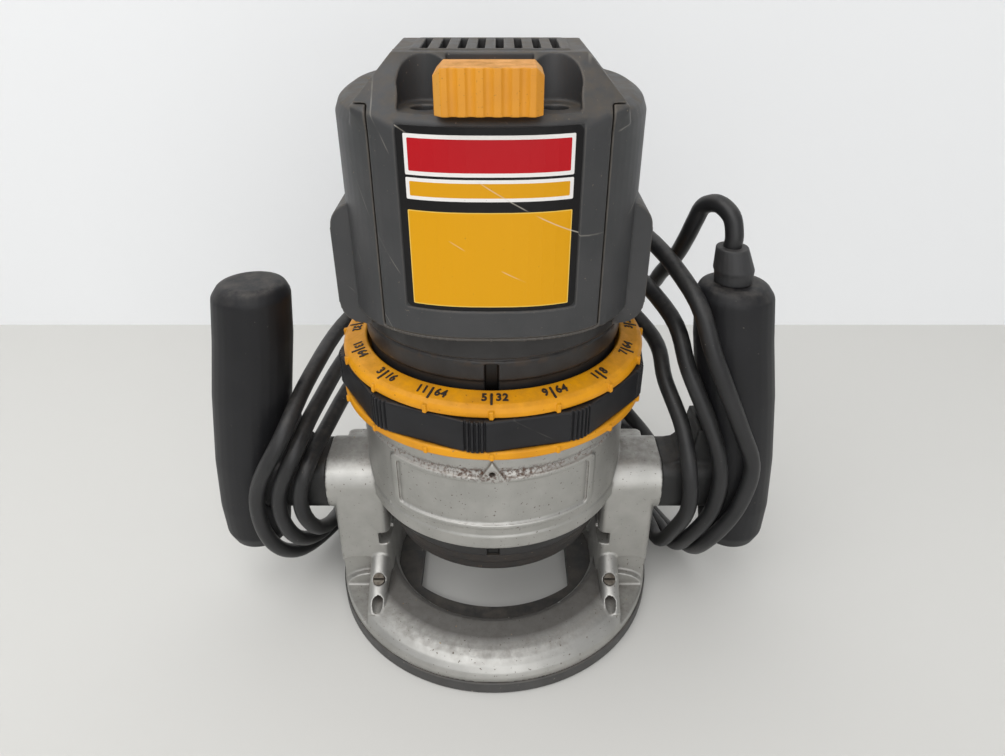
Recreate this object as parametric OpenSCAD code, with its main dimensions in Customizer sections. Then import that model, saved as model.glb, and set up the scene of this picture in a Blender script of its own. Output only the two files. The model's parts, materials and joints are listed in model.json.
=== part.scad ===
// Fixed-base electric router with two side grips, a depth ring and its cord wound round it.
// Millimetres, +Z up. The origin is the middle of the base's underside, and the front faces -Y.

/* [Sub-base] */
// Radius of the round plate under the foot
plate_r = 76.2; // [75:0.1:80]
// Thickness of the round plate
plate_t = 6.35; // [5:0.05:8]
// Width of the opening for the bit
bit_hole_w = 73; // [60:0.5:78]
// Front-to-back size of the opening
bit_hole_d = 68.8; // [60:0.2:74]
// Distance of the opening's corners from the middle
bit_hole_corner_r = 41.5; // [38:0.5:44]
// Radius of the opening's front and back edges
bit_hole_edge_r = 55.5; // [48:0.5:64]
// Radius of the circle on which the plate's screws sit
plate_screw_pcr = 61; // [58:0.5:64]
// Shank radius of the plate's screws
plate_screw_r = 2.4; // [2:0.1:2.8]
// Length of the plate's screws
plate_screw_len = 12; // [10:0.5:13]

/* [Foot and legs] */
// Height of the foot ring's ridge above the plate
foot_h = 12.2; // [11.6:0.1:14]
// Inner radius of the foot ring
foot_in_r = 49; // [46:0.5:50]
// Height of the thin flange beside the ramps
flange_t = 3; // [2:0.1:4]
// Distance of the legs' inner faces from the middle
leg_in_x = 48.5; // [47:0.5:50]
// How far the legs' outer faces stay inside the foot's edge
leg_inset = 3.2; // [2:0.1:5]
// Half of the legs' front-to-back depth
leg_half_d = 24; // [22:0.5:26]
// Rounding of the legs' upright edges
leg_edge_r = 3; // [1.5:0.5:4]
// Height of the lip above the ramps
lip_z = 28.7; // [27:0.1:30]
// Depth of the recess below that lip
lip_depth = 4; // [2:0.5:5]
// Distance of the guide rods' holes from the middle
rod_x = 53.5; // [52.5:0.1:54.5]
// Height of the guide rods' holes
rod_z = 17.5; // [16.5:0.1:18]
// Radius of the guide rods' holes
rod_r = 2.5; // [2:0.05:3]
// Radius of the slotted screws that hold the guide rods
rod_screw_r = 2.7; // [2.2:0.1:3]

/* [Collar] */
// Wall of the collar
collar_wall = 6.1; // [5:0.1:7]
// Lower edge of the collar
collar_z0 = 66.5; // [65:0.1:68]
// Upper edge of the collar
collar_z1 = 116.5; // [115:0.1:118]
// Half of the nameplate frame's width
frame_half_w = 41; // [36:0.5:42]
// Lower edge of the nameplate frame
frame_z0 = 78; // [77:0.1:80]
// Upper edge of the nameplate frame
frame_z1 = 104.4; // [99:0.1:105]
// Height of the pointer's hole
pointer_z = 106.4; // [104:0.1:107]
// How far the frame stands out of the collar
frame_rise = 1.2; // [0.8:0.1:2]
// Width of the split at the back
split_w = 4; // [2:0.5:6]
// Distance of the clamp bolt behind the collar
clamp_out = 8.02; // [7.5:0.02:9]
// Height of the clamp bolt
clamp_z = 78; // [77:0.5:80]
// Radius of the clamp bolt
clamp_bolt_r = 3; // [2.5:0.1:3.5]
// Radius of the clamp lugs and of the lever's hub
clamp_lug_r = 8; // [7:0.1:8.5]
// Width of each clamp lug
clamp_lug_w = 11; // [9:0.5:13]
// Length of the clamp lever from its bolt
lever_len = 34; // [28:0.5:36]

/* [Depth ring] */
// Height of the ring
ring_h = 24; // [23:0.1:25]
// Wall of the ring under the rubber band
ring_wall = 8.12; // [7.5:0.02:9]
// How far the upper rim stands out of that wall
ring_rim_out = 3.1; // [2.4:0.1:4]
// How far the lower flange stands out of that wall
ring_flange_out = 4.4; // [3.6:0.1:5]
// Height of the lower flange
ring_flange_t = 4; // [3:0.1:5]
// Thickness of the rubber band at its rounded corners
band_t = 5.6; // [5:0.1:6.4]
// What the rounding takes off the band's corners
band_round = 0.5; // [0.2:0.1:0.8]
// How far the nubs of the scale marks stand out
nub_out = 0.9; // [0.4:0.1:1.2]
// Number of the band's corners
band_sides = 10; // [8:1:12]
// Turn of the band's corners from the scale
band_turn = -5.4; // [-18:0.1:18]
// Number of scale marks on the ring
mark_count = 16; // [8:4:32]
// Lift of the motor for one turn of the ring
thread_lead = 6.35; // [3:0.05:8]

/* [Motor] */
// Radius of the can that slides in the collar
can_r = 50.8; // [50.4:0.1:51]
// Wall of the can
can_wall = 2.6; // [2.4:0.1:3]
// Lower edge of the can
can_z0 = 56; // [54:0.1:58]
// Lower edge of the can's wide neck
neck_z = 143.5; // [143:0.1:145]
// How far the can's wide neck stands out of the can
neck_step = 1.1; // [0.8:0.1:1.3]
// Width of the key slot in the can's front
slot_w = 5; // [4.6:0.1:6]
// Upper end of the key slot
slot_z1 = 150.6; // [148:0.1:151]
// Underside of the end bracket
bracket_z0 = 44.6; // [43:0.1:46]
// Height of the laminations
stack_h = 44; // [36:0.5:48]
// Radius of the armature
armature_r = 25.5; // [22:0.1:26]
// Air gap between the armature and the field
air_gap = 0.8; // [0.5:0.1:1.5]
// Radius of the spindle in its bearings
spindle_r = 8.5; // [7:0.1:9]
// Radius of the fan
fan_r = 43; // [36:0.5:46]
// Number of the fan's blades
fan_blades = 12; // [8:1:16]
// Radius of the commutator
commutator_r = 15; // [13:0.1:17]
// Height of the brushes' line
brush_z = 173; // [171:0.5:175]
// Radius of the brush tubes
brush_tube_r = 6.5; // [6:0.1:7]

/* [Collet] */
// Radius of the bit's shank
shank_r = 6.35; // [3.175:0.005:6.35]
// Depth of the collet's bore
collet_depth = 24; // [18:0.5:26]
// Lower end of the collet nut
nut_z0 = 11; // [9:0.1:13]
// Width across the nut's flats
nut_af = 24; // [23:0.1:26]
// Height of the collet nut
nut_h = 19; // [17:0.5:20]

/* [Motor housing] */
// Half of the housing's width
body_half_w = 53; // [52:0.1:54]
// Front face of the housing
body_front_y = 56; // [54:0.1:57]
// Back face of the housing
body_back_y = 52; // [50:0.1:54]
// Lower edge of the housing
body_z0 = 162; // [161:0.1:163]
// Top of the housing
body_z1 = 249; // [247:0.1:252]
// Wall of the housing and of its cover
body_wall = 3; // [2:0.1:3.5]
// Half-width of the side lobes
lobe_half_w = 56.5; // [55.5:0.1:60]
// Half of the lobes' front-to-back depth
lobe_half_d = 28; // [24:0.5:30]
// Lower edge of the lobes
lobe_z0 = 154.5; // [154:0.1:157]
// Upper edge of the lobes
lobe_z1 = 201; // [196:0.5:204]
// Half-width of the top cover between its seams
cover_half_w = 37; // [35:0.5:38]
// Radius of the screws that hold the cover
cover_screw_r = 1.9; // [1.5:0.1:2.2]
// Height of the screw heads' seats in their wells
well_z = 224.5; // [220:0.5:227]
// Half-width of the switch recess
recess_half_w = 27.5; // [25:0.5:29]
// Height of the ledge under the switch knob
ledge_z = 234.8; // [234:0.1:236]
// Back wall of the switch recess
recess_back_y = 31; // [29:0.5:33]
// Width of the label plate
label_w = 56; // [48:0.5:58]
// Height of the label plate
label_h = 59; // [50:0.5:61]
// Thickness of the label plate
label_t = 0.5; // [0.3:0.1:0.8]
// Number of slots in the top grille
vent_count = 8; // [5:1:9]
// Distance from one slot to the next
vent_pitch = 5.95; // [5:0.05:6.2]
// Width of a slot
vent_w = 2.5; // [1.5:0.1:3]

/* [Switch] */
// Width of the switch knob
knob_w = 31; // [26:0.5:33]
// Height of the knob's front
knob_h = 13; // [11:0.1:15]
// Front-to-back size of the knob
knob_d = 16; // [13:0.5:17]
// How far the knob stands out of the front panel
knob_out = 4; // [2:0.5:6]
// Travel of the knob from off to on
knob_travel = 6; // [3:0.5:7]

/* [Grips] */
// Distance of the grips' plane in front of the motor's axis
handle_y = 7; // [5:0.5:8]
// How far the side bosses' ends stay inside the foot's edge
boss_inset = 1; // [0:0.1:1.5]
// Underside of the side bosses
boss_z0 = 54; // [52:0.5:56]
// Top of the side bosses
boss_z1 = 80.4; // [79:0.1:82]
// Front-to-back size of the side bosses
boss_d = 34; // [30:0.5:36]
// Rounding of the side bosses' long edges
boss_round = 11.5; // [6:0.5:12]
// Front-to-back size of the bridges
bridge_d = 28; // [25:0.5:29]
// Thickness of the grips' soft layer
soft_t = 3; // [2:0.1:3.5]
// Radius of the handle bolts
handle_bolt_r = 2.5; // [2:0.1:3]

/* [Cord] */
// Diameter of the cord
cord_d = 7; // [6:0.1:7.4]
// Number of turns wound round the tool
cord_turns = 3; // [2:1:3]

/* [Clearances] */
// Gap between pieces that are fixed together
fit_gap = 0.05; // [0.02:0.01:0.1]
// Radial gap of a turning or sliding fit
run_gap = 0.08; // [0.03:0.01:0.1]
// Gap between pieces that only pass each other
free_gap = 0.3; // [0.2:0.05:0.5]

/* [Hidden] */
$fn = 96;

e = 0.01;
black = "#2d2d2f";
charcoal = "#454240";
alloy = "#b9b9b6";
yellow = "#e0a22e";
steel = "#a8a8aa";
copper = "#b06a3a";

collar_bore_r = can_r + run_gap;
collar_r = can_r + run_gap + collar_wall;
clamp_y = collar_r + clamp_out;
ring_z0 = collar_z1 + run_gap;
ring_z1 = ring_z0 + ring_h;
ring_bore_r = can_r + run_gap;
neck_r = can_r + neck_step;
ring_mouth_r = neck_r + free_gap;
ring_seat_r = ring_bore_r + ring_wall;
ring_rim_r = ring_seat_r + ring_rim_out;
ring_flange_r = ring_seat_r + ring_flange_out;
band_round_r = ring_seat_r + band_t;
band_corner_r = band_round_r + band_round;
can_in_r = can_r - can_wall;
field_r = can_in_r - 4 * fit_gap;
foot_out_r = plate_r - 0.7;
leg_out_x = foot_out_r - leg_inset;
boss_out_x = foot_out_r - boss_inset;
foot_z1 = plate_t + foot_h;
flange_z = plate_t + flange_t;
ramp_w = 9;
ramp_top = [-26, 30];
ramp_end = [-46, 16];
ramp_angle = atan2(ramp_top[1] - ramp_end[1], ramp_top[0] - ramp_end[0]);
ramp_len = norm(ramp_top - ramp_end);
lip_round = 6;

stack_z0 = 92;
stack_z1 = stack_z0 + stack_h;
coil_h = 9;
fan_z0 = 66;
fan_h = 12;
lower_bearing_z0 = 47;
lower_bearing_h = 12;
bearing_out_r = 20;
upper_bearing_z0 = 190;
upper_bearing_h = 9;
upper_bearing_r = 15;
upper_spindle_r = 6;
commutator_z0 = brush_z - 10;
commutator_h = 20;
brush_cap_t = 4;
nut_z1 = nut_z0 + nut_h;
hub_r = bearing_out_r + 4;
hub_z0 = lower_bearing_z0 - 8;

knob_front_y = -body_front_y - knob_out;
knob_z0 = ledge_z + 1;
knob_z1 = knob_z0 + knob_h;
switch_stem_w = 10;
label_z1 = ledge_z - 2.5;
label_z0 = label_z1 - label_h;
label_recess = label_t + 0.3;

boss_y = -handle_y;
leg_z1 = boss_z1 - boss_round;
bridge_z0 = boss_z0 + 0.5;
bridge_z1 = boss_z1 - 1;
grip_rings = [
    [95.6, 162.4, 10.4, 9.9], [95.8, 161.4, 13.4, 12.6], [96.5, 157.4, 15.7, 14.7],
    [99.2, 138.0, 16.4, 15.4], [104.1, 112.0, 16.9, 15.9], [109.6, 78.0, 16.9, 15.9],
    [112.9, 52.0, 16.2, 15.2], [114.3, 35.5, 14.9, 13.9], [114.6, 29.0, 12.2, 11.2],
    [114.7, 26.2, 7.0, 6.4]
];
grip_sides = 28;
grip_mid_x = 104.1;
grip_top = grip_rings[0];
relief_h = 14.5;
relief_top = [92.4, -handle_y, grip_top[1] + 0.05 + relief_h];

function last(list) = list[len(list) - 1];
function circle_points(r, n, a = 0) = [for (i = [0 : n - 1]) [r * cos(a + 360 * i / n), r * sin(a + 360 * i / n)]];
function arc_points(c, r, a0, a1, n) = [
    for (i = [0 : n]) c + r * [cos(a0 + (a1 - a0) * i / n), sin(a0 + (a1 - a0) * i / n)]
];
function signed_power(v, p) = sign(v) * pow(abs(v), p);

// Joins a stack of point rings, each with as many points, into one closed solid
module loft(rings) {
    n = len(rings[0]);
    m = len(rings);
    points = [for (ring = rings) for (p = ring) p];
    sides = [for (j = [0 : m - 2]) for (i = [0 : n - 1]) for (t = [0, 1])
        let (k = (i + 1) % n, a = j * n + i, b = j * n + k)
        t == 0 ? [a, a + n, b] : [b, a + n, b + n]];
    ends = [[for (i = [0 : n - 1]) i], [for (i = [n - 1 : -1 : 0]) (m - 1) * n + i]];
    polyhedron(points, concat(sides, ends));
}

module tube(r, r_in, h) {
    difference() {
        cylinder(r = r, h = h);
        translate([0, 0, -1]) cylinder(r = r_in, h = h + 2);
    }
}

module rounded_rect(w, d, r) {
    square([w - 2 * r, d], center = true);
    square([w, d - 2 * r], center = true);
    for (x = [-1, 1], y = [-1, 1]) translate([x * (w / 2 - r), y * (d / 2 - r)]) circle(r = r, $fn = 48);
}

module rounded_block(size, r) {
    translate([0, 0, -size[2] / 2]) linear_extrude(size[2]) rounded_rect(size[0], size[1], r);
}

// Lays a shape drawn in X and Z into place, from y0 to y1
module along_y(y0, y1) {
    translate([0, y1, 0]) rotate([90, 0, 0]) linear_extrude(y1 - y0) children();
}

// Lays a shape drawn in Y and Z into place, from x0 to x1
module along_x(x0, x1) {
    translate([x0, 0, 0]) rotate([90, 0, 90]) linear_extrude(x1 - x0) children();
}

module rod_x_axis(x0, x1, r) {
    translate([x0, 0, 0]) rotate([0, 90, 0]) cylinder(r = r, h = x1 - x0);
}

module mirrored_pair() {
    children();
    mirror([1, 0, 0]) children();
}

/* Base */

module bit_opening_shape() {
    edge_y = bit_hole_d / 2 - bit_hole_edge_r;
    intersection() {
        circle(r = bit_hole_corner_r);
        square([bit_hole_w, 2 * bit_hole_corner_r], center = true);
        translate([0, edge_y]) circle(r = bit_hole_edge_r);
        translate([0, -edge_y]) circle(r = bit_hole_edge_r);
    }
}

module at_plate_screws() {
    for (a = [45 : 90 : 315]) rotate(a) translate([plate_screw_pcr, 0, 0]) children();
}

module countersunk(r, len, head_r, head_h) {
    cylinder(r = r, h = len);
    cylinder(r1 = head_r, r2 = r, h = head_h);
}

module sub_base() {
    color("#4b4b4b") difference() {
        rotate_extrude() polygon([
            [0, 0], [plate_r - 0.6, 0], [plate_r, 0.6], [plate_r, plate_t - 0.4], [plate_r - 0.4, plate_t], [0, plate_t]
        ]);
        translate([0, 0, -1]) linear_extrude(plate_t + 2) bit_opening_shape();
        at_plate_screws() {
            translate([0, 0, -1]) cylinder(r = plate_screw_r + fit_gap, h = plate_t + 2);
            translate([0, 0, -e]) cylinder(r = 2 * plate_screw_r + fit_gap, h = 0.6 + e);
            translate([0, 0, 0.6]) cylinder(r1 = 2 * plate_screw_r + fit_gap, r2 = plate_screw_r + fit_gap, h = plate_screw_r);
        }
    }
}

module sub_base_screws() {
    color(steel) at_plate_screws() difference() {
        translate([0, 0, 0.6 + fit_gap])
            countersunk(plate_screw_r, plate_screw_len, 2 * plate_screw_r - fit_gap, plate_screw_r - fit_gap);
        cube([2.2 * plate_screw_r, 1, 2.6], center = true);
    }
}

module foot_ring() {
    rotate_extrude() polygon([
        [foot_in_r, plate_t], [foot_out_r, plate_t], [foot_out_r, plate_t + 2.2],
        [foot_out_r - 0.9, plate_t + 4.6], [foot_out_r - 2.8, plate_t + 6.9], [foot_out_r - 5.4, plate_t + 8.7],
        [foot_out_r - 8.8, plate_t + 9.9], [foot_in_r + 11, foot_z1 - 1.2], [foot_in_r + 6, foot_z1 - 0.3],
        [foot_in_r + 4, foot_z1], [foot_in_r + 2, foot_z1 - 0.9], [foot_in_r, foot_z1 - 3.6]
    ]);
}

// The upright leg on the right, cut back below the lip at its front and its back
module leg() {
    mid_x = (leg_in_x + leg_out_x) / 2;
    difference() {
        translate([mid_x, 0, (plate_t + leg_z1) / 2])
            rounded_block([leg_out_x - leg_in_x, 2 * leg_half_d, leg_z1 - plate_t], leg_edge_r);
        for (s = [-1, 1]) along_y(s * leg_half_d - lip_depth, s * leg_half_d + lip_depth) {
            translate([leg_in_x + 2, flange_z]) square([leg_out_x - leg_in_x, lip_z - lip_round - flange_z]);
            translate([leg_in_x + 2, flange_z]) square([leg_out_x - leg_in_x - lip_round - 2, lip_z - flange_z]);
            translate([leg_out_x - lip_round, lip_z - lip_round]) circle(r = lip_round);
        }
        // hollow from the back, between the lip and the boss
        translate([leg_in_x + 5, -leg_half_d + 6, lip_z + 1])
            cube([leg_out_x - leg_in_x - 10, 2 * leg_half_d, boss_z0 - lip_z - 6]);
    }
}

module boss() {
    along_x(leg_in_x - 6, boss_out_x) translate([boss_y, (boss_z0 + boss_z1) / 2])
        rounded_rect(boss_d, boss_z1 - boss_z0, boss_round);
}

// The slanted ramp that carries the guide rod's hole and its screw
module ramp() {
    translate([rod_x + 0.3, ramp_end[0], ramp_end[1]]) rotate([ramp_angle - 90, 0, 0])
        translate([0, ramp_w / 2, -1]) cylinder(r = ramp_w / 2, h = ramp_len + 4);
    along_x(rod_x + 0.3 - ramp_w / 2, rod_x + 0.3 + ramp_w / 2) polygon([
        [-leg_half_d + 6, flange_z], [-leg_half_d + 6, ramp_top[1] - 3],
        ramp_top + [2.6, -3.7], ramp_end + [2.6, -3.7], [ramp_end[0] + 2.6, flange_z]
    ]);
}

module at_ramps() {
    for (sx = [0, 1], sy = [0, 1]) mirror([sx, 0, 0]) mirror([0, sy, 0]) children();
}

// Frame of the slotted screw: its origin is on the ramp's face, +Z out of the ramp
module at_ramp_screw() {
    mid = 0.6 * ramp_top + 0.4 * ramp_end;
    translate([rod_x, mid[0], mid[1]]) rotate([ramp_angle, 0, 0]) children();
}

module collar_body() {
    band_r = collar_r + 0.5;
    rotate_extrude() polygon([
        [collar_bore_r - 2, collar_z0], [band_r - 1, collar_z0], [band_r, collar_z0 + 1],
        [band_r, frame_z0 - 4.6], [band_r - 1, frame_z0 - 3.8], [collar_r, frame_z0 - 3.6],
        [collar_r, frame_z1 + 1.2], [collar_r - 0.7, frame_z1 + 1.4], [collar_r - 0.7, frame_z1 + 2.6],
        [collar_r, frame_z1 + 2.8], [collar_r, collar_z1], [collar_bore_r - 2, collar_z1]
    ]);
    // raised border of the nameplate
    difference() {
        intersection() {
            translate([0, 0, frame_z0]) cylinder(r = collar_r + frame_rise, h = frame_z1 - frame_z0);
            along_y(-collar_r - 3, 0) translate([0, (frame_z0 + frame_z1) / 2])
                rounded_rect(2 * frame_half_w, frame_z1 - frame_z0, 3);
        }
        difference() {
            along_y(-collar_r - 3, 0) translate([0, (frame_z0 + frame_z1) / 2])
                rounded_rect(2 * frame_half_w - 5, frame_z1 - frame_z0 - 4.4, 2);
            translate([0, 0, frame_z0 - 1]) cylinder(r = collar_r, h = frame_z1 - frame_z0 + 2);
        }
    }
    // pointer under the ring's zero
    intersection() {
        along_y(-collar_r - 2, -collar_r + 4)
            polygon([[-5.8, pointer_z - 4.2], [5.8, pointer_z - 4.2], [0, pointer_z + 5.6]]);
        translate([0, 0, pointer_z - 6]) cylinder(r = collar_r + 1.8, h = 12);
    }
}

module clamp_lugs() {
    for (s = [0, 1]) mirror([s, 0, 0]) along_x(split_w / 2, split_w / 2 + clamp_lug_w) {
        translate([clamp_y, clamp_z]) circle(r = clamp_lug_r);
        translate([collar_bore_r + 2, clamp_z - clamp_lug_r])
            square([clamp_y - collar_bore_r - 2, 2 * clamp_lug_r]);
    }
}

module base_casting() {
    color(alloy) difference() {
        union() {
            difference() {
                foot_ring();
                for (sx = [0, 1], sy = [0, 1]) mirror([sx, 0, 0]) mirror([0, sy, 0])
                    translate([rod_x + 4.4, leg_half_d - 1, flange_z]) cube([plate_r, plate_r, foot_h + 8]);
            }
            mirrored_pair() {
                leg();
                boss();
            }
            at_ramps() ramp();
            collar_body();
            clamp_lugs();
        }
        // bore for the motor, open to the legs below the collar
        translate([0, 0, bracket_z0 - 6]) cylinder(r = collar_bore_r, h = 100);
        translate([-split_w / 2, collar_bore_r - 10, collar_z0 - 1]) cube([split_w, 40, collar_z1 - collar_z0 + 2]);
        translate([0, clamp_y, clamp_z]) rod_x_axis(-30, 30, clamp_bolt_r + fit_gap);
        for (s = [-1, 1]) translate([s * rod_x, 80, rod_z]) rotate([90, 0, 0]) cylinder(r = rod_r, h = 160);
        for (s = [0, 1]) mirror([s, 0, 0]) at_ramp_screw()
            translate([0, 0, -8]) cylinder(r = rod_screw_r + fit_gap, h = 12);
        // chip shield notches in the legs' inner front edges
        for (s = [-1, 1]) translate([s * (leg_in_x + 1.5) - 3.5, -leg_half_d - 1, 37]) cube([7, 13, 6.7]);
        at_plate_screws() translate([0, 0, plate_t - 1])
            cylinder(r = plate_screw_r + fit_gap, h = plate_screw_len - plate_t + 2.6);
        translate([0, -collar_r + 12, pointer_z]) rotate([90, 0, 0]) {
            cylinder(r = slot_w / 2 - free_gap + fit_gap, h = 10.7);
            cylinder(r = 1.2, h = 20);
        }
        at_handle_bolts() rod_x_axis(-handle_bolt_len + 3.5, 4, handle_bolt_r + fit_gap);
    }
}

module guide_rod_screws() {
    color(steel) for (s = [0, 1]) mirror([s, 0, 0]) at_ramp_screw() difference() {
        translate([0, 0, -3.3]) cylinder(r = rod_screw_r, h = 3.9);
        cube([5.4, 0.9, 2], center = true);
    }
}

// The pin behind the pointer, whose tip runs in the can's slot
module guide_pin() {
    tip_y = can_r - 1.3;
    color(steel) translate([0, -tip_y, pointer_z]) rotate([90, 0, 0])
        cylinder(r = slot_w / 2 - free_gap, h = collar_r - 1.4 - tip_y);
}

module clamp_bolt() {
    lug_x = split_w / 2 + clamp_lug_w;
    color(steel) translate([0, clamp_y, clamp_z]) {
        rod_x_axis(-lug_x - e, lug_x + 12.6, clamp_bolt_r);
        translate([-lug_x - 4.2, 0, 0]) rotate([0, 90, 0]) cylinder(r = 2 * clamp_bolt_r, h = 4.2, $fn = 6);
    }
}

module clamp_washer() {
    color(steel) translate([split_w / 2 + clamp_lug_w, clamp_y, clamp_z]) rotate([0, 90, 0])
        tube(2.2 * clamp_bolt_r, clamp_bolt_r + fit_gap, 1.2);
}

module clamp_lever() {
    x0 = split_w / 2 + clamp_lug_w + 1.2 + run_gap;
    color(black) difference() {
        union() {
            translate([0, clamp_y, clamp_z]) rod_x_axis(x0, x0 + 10, clamp_lug_r - 0.5);
            along_x(x0 + 2, x0 + 8) {
                translate([clamp_y - 4, clamp_z - lever_len + 5]) square([8, lever_len - 5]);
                translate([clamp_y, clamp_z - lever_len + 5]) circle(r = 5);
            }
        }
        translate([0, clamp_y, clamp_z]) rod_x_axis(x0 - 1, x0 + 11, clamp_bolt_r + run_gap);
    }
}

/* Grips */

handle_bolt_len = 15;
bridge_wall = 4;

module at_handle_bolts() {
    for (s = [0, 1], dy = [-1, 1]) mirror([s, 0, 0])
        translate([boss_out_x, boss_y + dy * 5, (bridge_z0 + bridge_z1) / 2]) children();
}

function grip_ring(g, inset) = [
    for (p = circle_points(1, grip_sides)) [g[0] + p[0] * (g[2] - inset), -handle_y + p[1] * (g[3] - inset), g[1]]
];

module grip_outer() {
    loft([for (i = [len(grip_rings) - 1 : -1 : 0]) grip_ring(grip_rings[i], 0)]);
}

// The hard core, one soft layer inside the grip; extra grows it for its socket
module grip_core(extra) {
    inset = soft_t - extra;
    body = [for (i = [len(grip_rings) - 2 : -1 : 1]) grip_ring(grip_rings[i], inset + 1)];
    loft(body);
}

// The bridge from the boss into the core, with its fillet up the grip's inner side
module bridge_shape(extra) {
    mid_z = (bridge_z0 + bridge_z1) / 2;
    along_x(boss_out_x, grip_mid_x) translate([boss_y, mid_z])
        rounded_rect(bridge_d + 2 * extra, bridge_z1 - bridge_z0 + 2 * extra, 6);
    along_y(boss_y - bridge_d / 2 + 4 - extra, boss_y + bridge_d / 2 - 4 + extra)
        translate([grip_mid_x, bridge_z1]) polygon([
            [-26, -3], [-26, -e], [-22 - extra, 1 + extra], [-18.5 - extra, 4.6], [-16.4 - extra, 10.6],
            [-15.6 - extra, 17.6], [-6, 17.6 + extra], [-6, -3]
        ]);
}

module handle_frame() {
    mid_z = (bridge_z0 + bridge_z1) / 2;
    difference() {
        union() {
            grip_core(0);
            bridge_shape(0);
        }
        // wiring space in the bridge and up the core
        along_x(boss_out_x + bridge_wall, grip_mid_x - 2) translate([boss_y, mid_z])
            rounded_rect(bridge_d - 2 * bridge_wall, bridge_z1 - bridge_z0 - 2 * bridge_wall, 3);
        translate([grip_top[0], -handle_y, 100]) cylinder(r = 5.2, h = 80);
        translate([grip_mid_x - 6, -handle_y, mid_z]) cylinder(r = 5.2, h = 50);
        at_handle_bolts() rod_x_axis(-1, 20, handle_bolt_r + fit_gap);
    }
}

module left_handle_frame() {
    color(black) mirror([1, 0, 0]) handle_frame();
}

module right_handle_frame() {
    color(black) handle_frame();
}

module soft_grip(cord_hole) {
    difference() {
        grip_outer();
        grip_core(fit_gap);
        bridge_shape(fit_gap);
        if (cord_hole) translate([grip_top[0], -handle_y, 150]) cylinder(r = 5 + fit_gap, h = 20);
    }
}

module left_soft_grip() {
    color("#303032") mirror([1, 0, 0]) soft_grip(false);
}

module right_soft_grip() {
    color("#303032") soft_grip(true);
}

module handle_bolts() {
    color(steel) at_handle_bolts() {
        rod_x_axis(bridge_wall - handle_bolt_len, bridge_wall + e, handle_bolt_r);
        rod_x_axis(bridge_wall, bridge_wall + 3.5, 1.7 * handle_bolt_r);
    }
}

module terminal_block() {
    d = bridge_d - 2 * bridge_wall - 6;
    color("#d8d2c4") translate([(boss_out_x + bridge_wall + grip_mid_x - 2) / 2, boss_y, bridge_z0 + bridge_wall + fit_gap]) difference() {
        translate([0, 0, 4]) rounded_block([8, d, 8], 1);
        for (dy = [-4, 4]) translate([0, dy, 3]) cylinder(r = 1.5, h = 10);
    }
}

/* Depth ring */

module depth_ring() {
    seat_z0 = ring_z0 + ring_flange_t;
    seat_z1 = ring_z1 - 6.6;
    color(yellow) difference() {
        union() {
            rotate_extrude() polygon([
                [ring_bore_r, ring_z0], [ring_flange_r - 0.8, ring_z0], [ring_flange_r, ring_z0 + 0.8],
                [ring_flange_r, seat_z0 - 0.6], [ring_flange_r - 0.6, seat_z0], [ring_seat_r, seat_z0],
                [ring_seat_r, seat_z1], [ring_rim_r - 1.2, seat_z1], [ring_rim_r, seat_z1 + 1],
                [ring_rim_r, seat_z1 + 2.6], [ring_rim_r - 0.8, ring_z1 - 2.4], [ring_rim_r - 2.4, ring_z1 - 1.4],
                [ring_mouth_r + 0.8, ring_z1], [ring_mouth_r, ring_z1 - 0.6],
                [ring_mouth_r, ring_z1 - 5], [ring_bore_r, ring_z1 - 6.2]
            ]);
            // nubs on both rims at every scale mark
            for (i = [0 : mark_count - 1]) rotate(360 * i / mark_count - 90) {
                translate([ring_rim_r - 2, -0.8, seat_z1 + 0.4]) cube([nub_out + 2, 1.6, 3.4]);
                translate([ring_flange_r - 2, -0.8, ring_z0 + 0.6]) cube([nub_out + 2, 1.6, ring_flange_t - 1.2]);
            }
        }
        // engraved line of every scale mark
        for (i = [0 : mark_count - 1]) rotate(360 * i / mark_count - 90)
            translate([ring_mouth_r + 2.2, -0.3, ring_z1 - 1.6]) cube([7, 0.6, 3]);
    }
}

module ring_grip_band() {
    z0 = ring_z0 + ring_flange_t + fit_gap;
    h = ring_z1 - 6.6 - z0 - fit_gap;
    ribs = 5;
    color(black) difference() {
        intersection() {
            translate([0, 0, z0]) linear_extrude(h) polygon(circle_points(band_corner_r, band_sides, band_turn - 90));
            translate([0, 0, z0]) cylinder(r = band_round_r, h = h);
        }
        translate([0, 0, z0 - 1]) cylinder(r = ring_seat_r + fit_gap, h = h + 2);
        for (corner = [0 : band_sides - 1], i = [0 : ribs - 1])
            rotate(360 * corner / band_sides + band_turn - 90 + 1.6 * (i - (ribs - 1) / 2))
                translate([band_round_r - 0.8, -0.4, z0 - 1]) cube([4, 0.8, h + 2]);
    }
}

/* Motor */

module motor_can() {
    groove_z = neck_z + 8;
    color(charcoal) difference() {
        rotate_extrude() polygon([
            [can_in_r, can_z0], [can_r - 0.6, can_z0], [can_r, can_z0 + 0.6], [can_r, neck_z], [neck_r - 0.5, neck_z],
            [neck_r, neck_z + 0.5], [neck_r, groove_z], [neck_r - 0.8, groove_z + 0.2],
            [neck_r - 0.8, groove_z + 1.2], [neck_r + 0.9, groove_z + 1.6], [neck_r + 0.9, body_z0 - 0.1],
            [can_in_r, body_z0 - 0.1]
        ]);
        translate([-slot_w / 2, -can_r - 3, can_z0 - 1]) cube([slot_w, 4.8, slot_z1 - can_z0 + 1]);
    }
}

module at_bracket_screws() {
    for (a = [30 : 120 : 270]) rotate(a) translate([36, 0, 0]) children();
}

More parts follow.
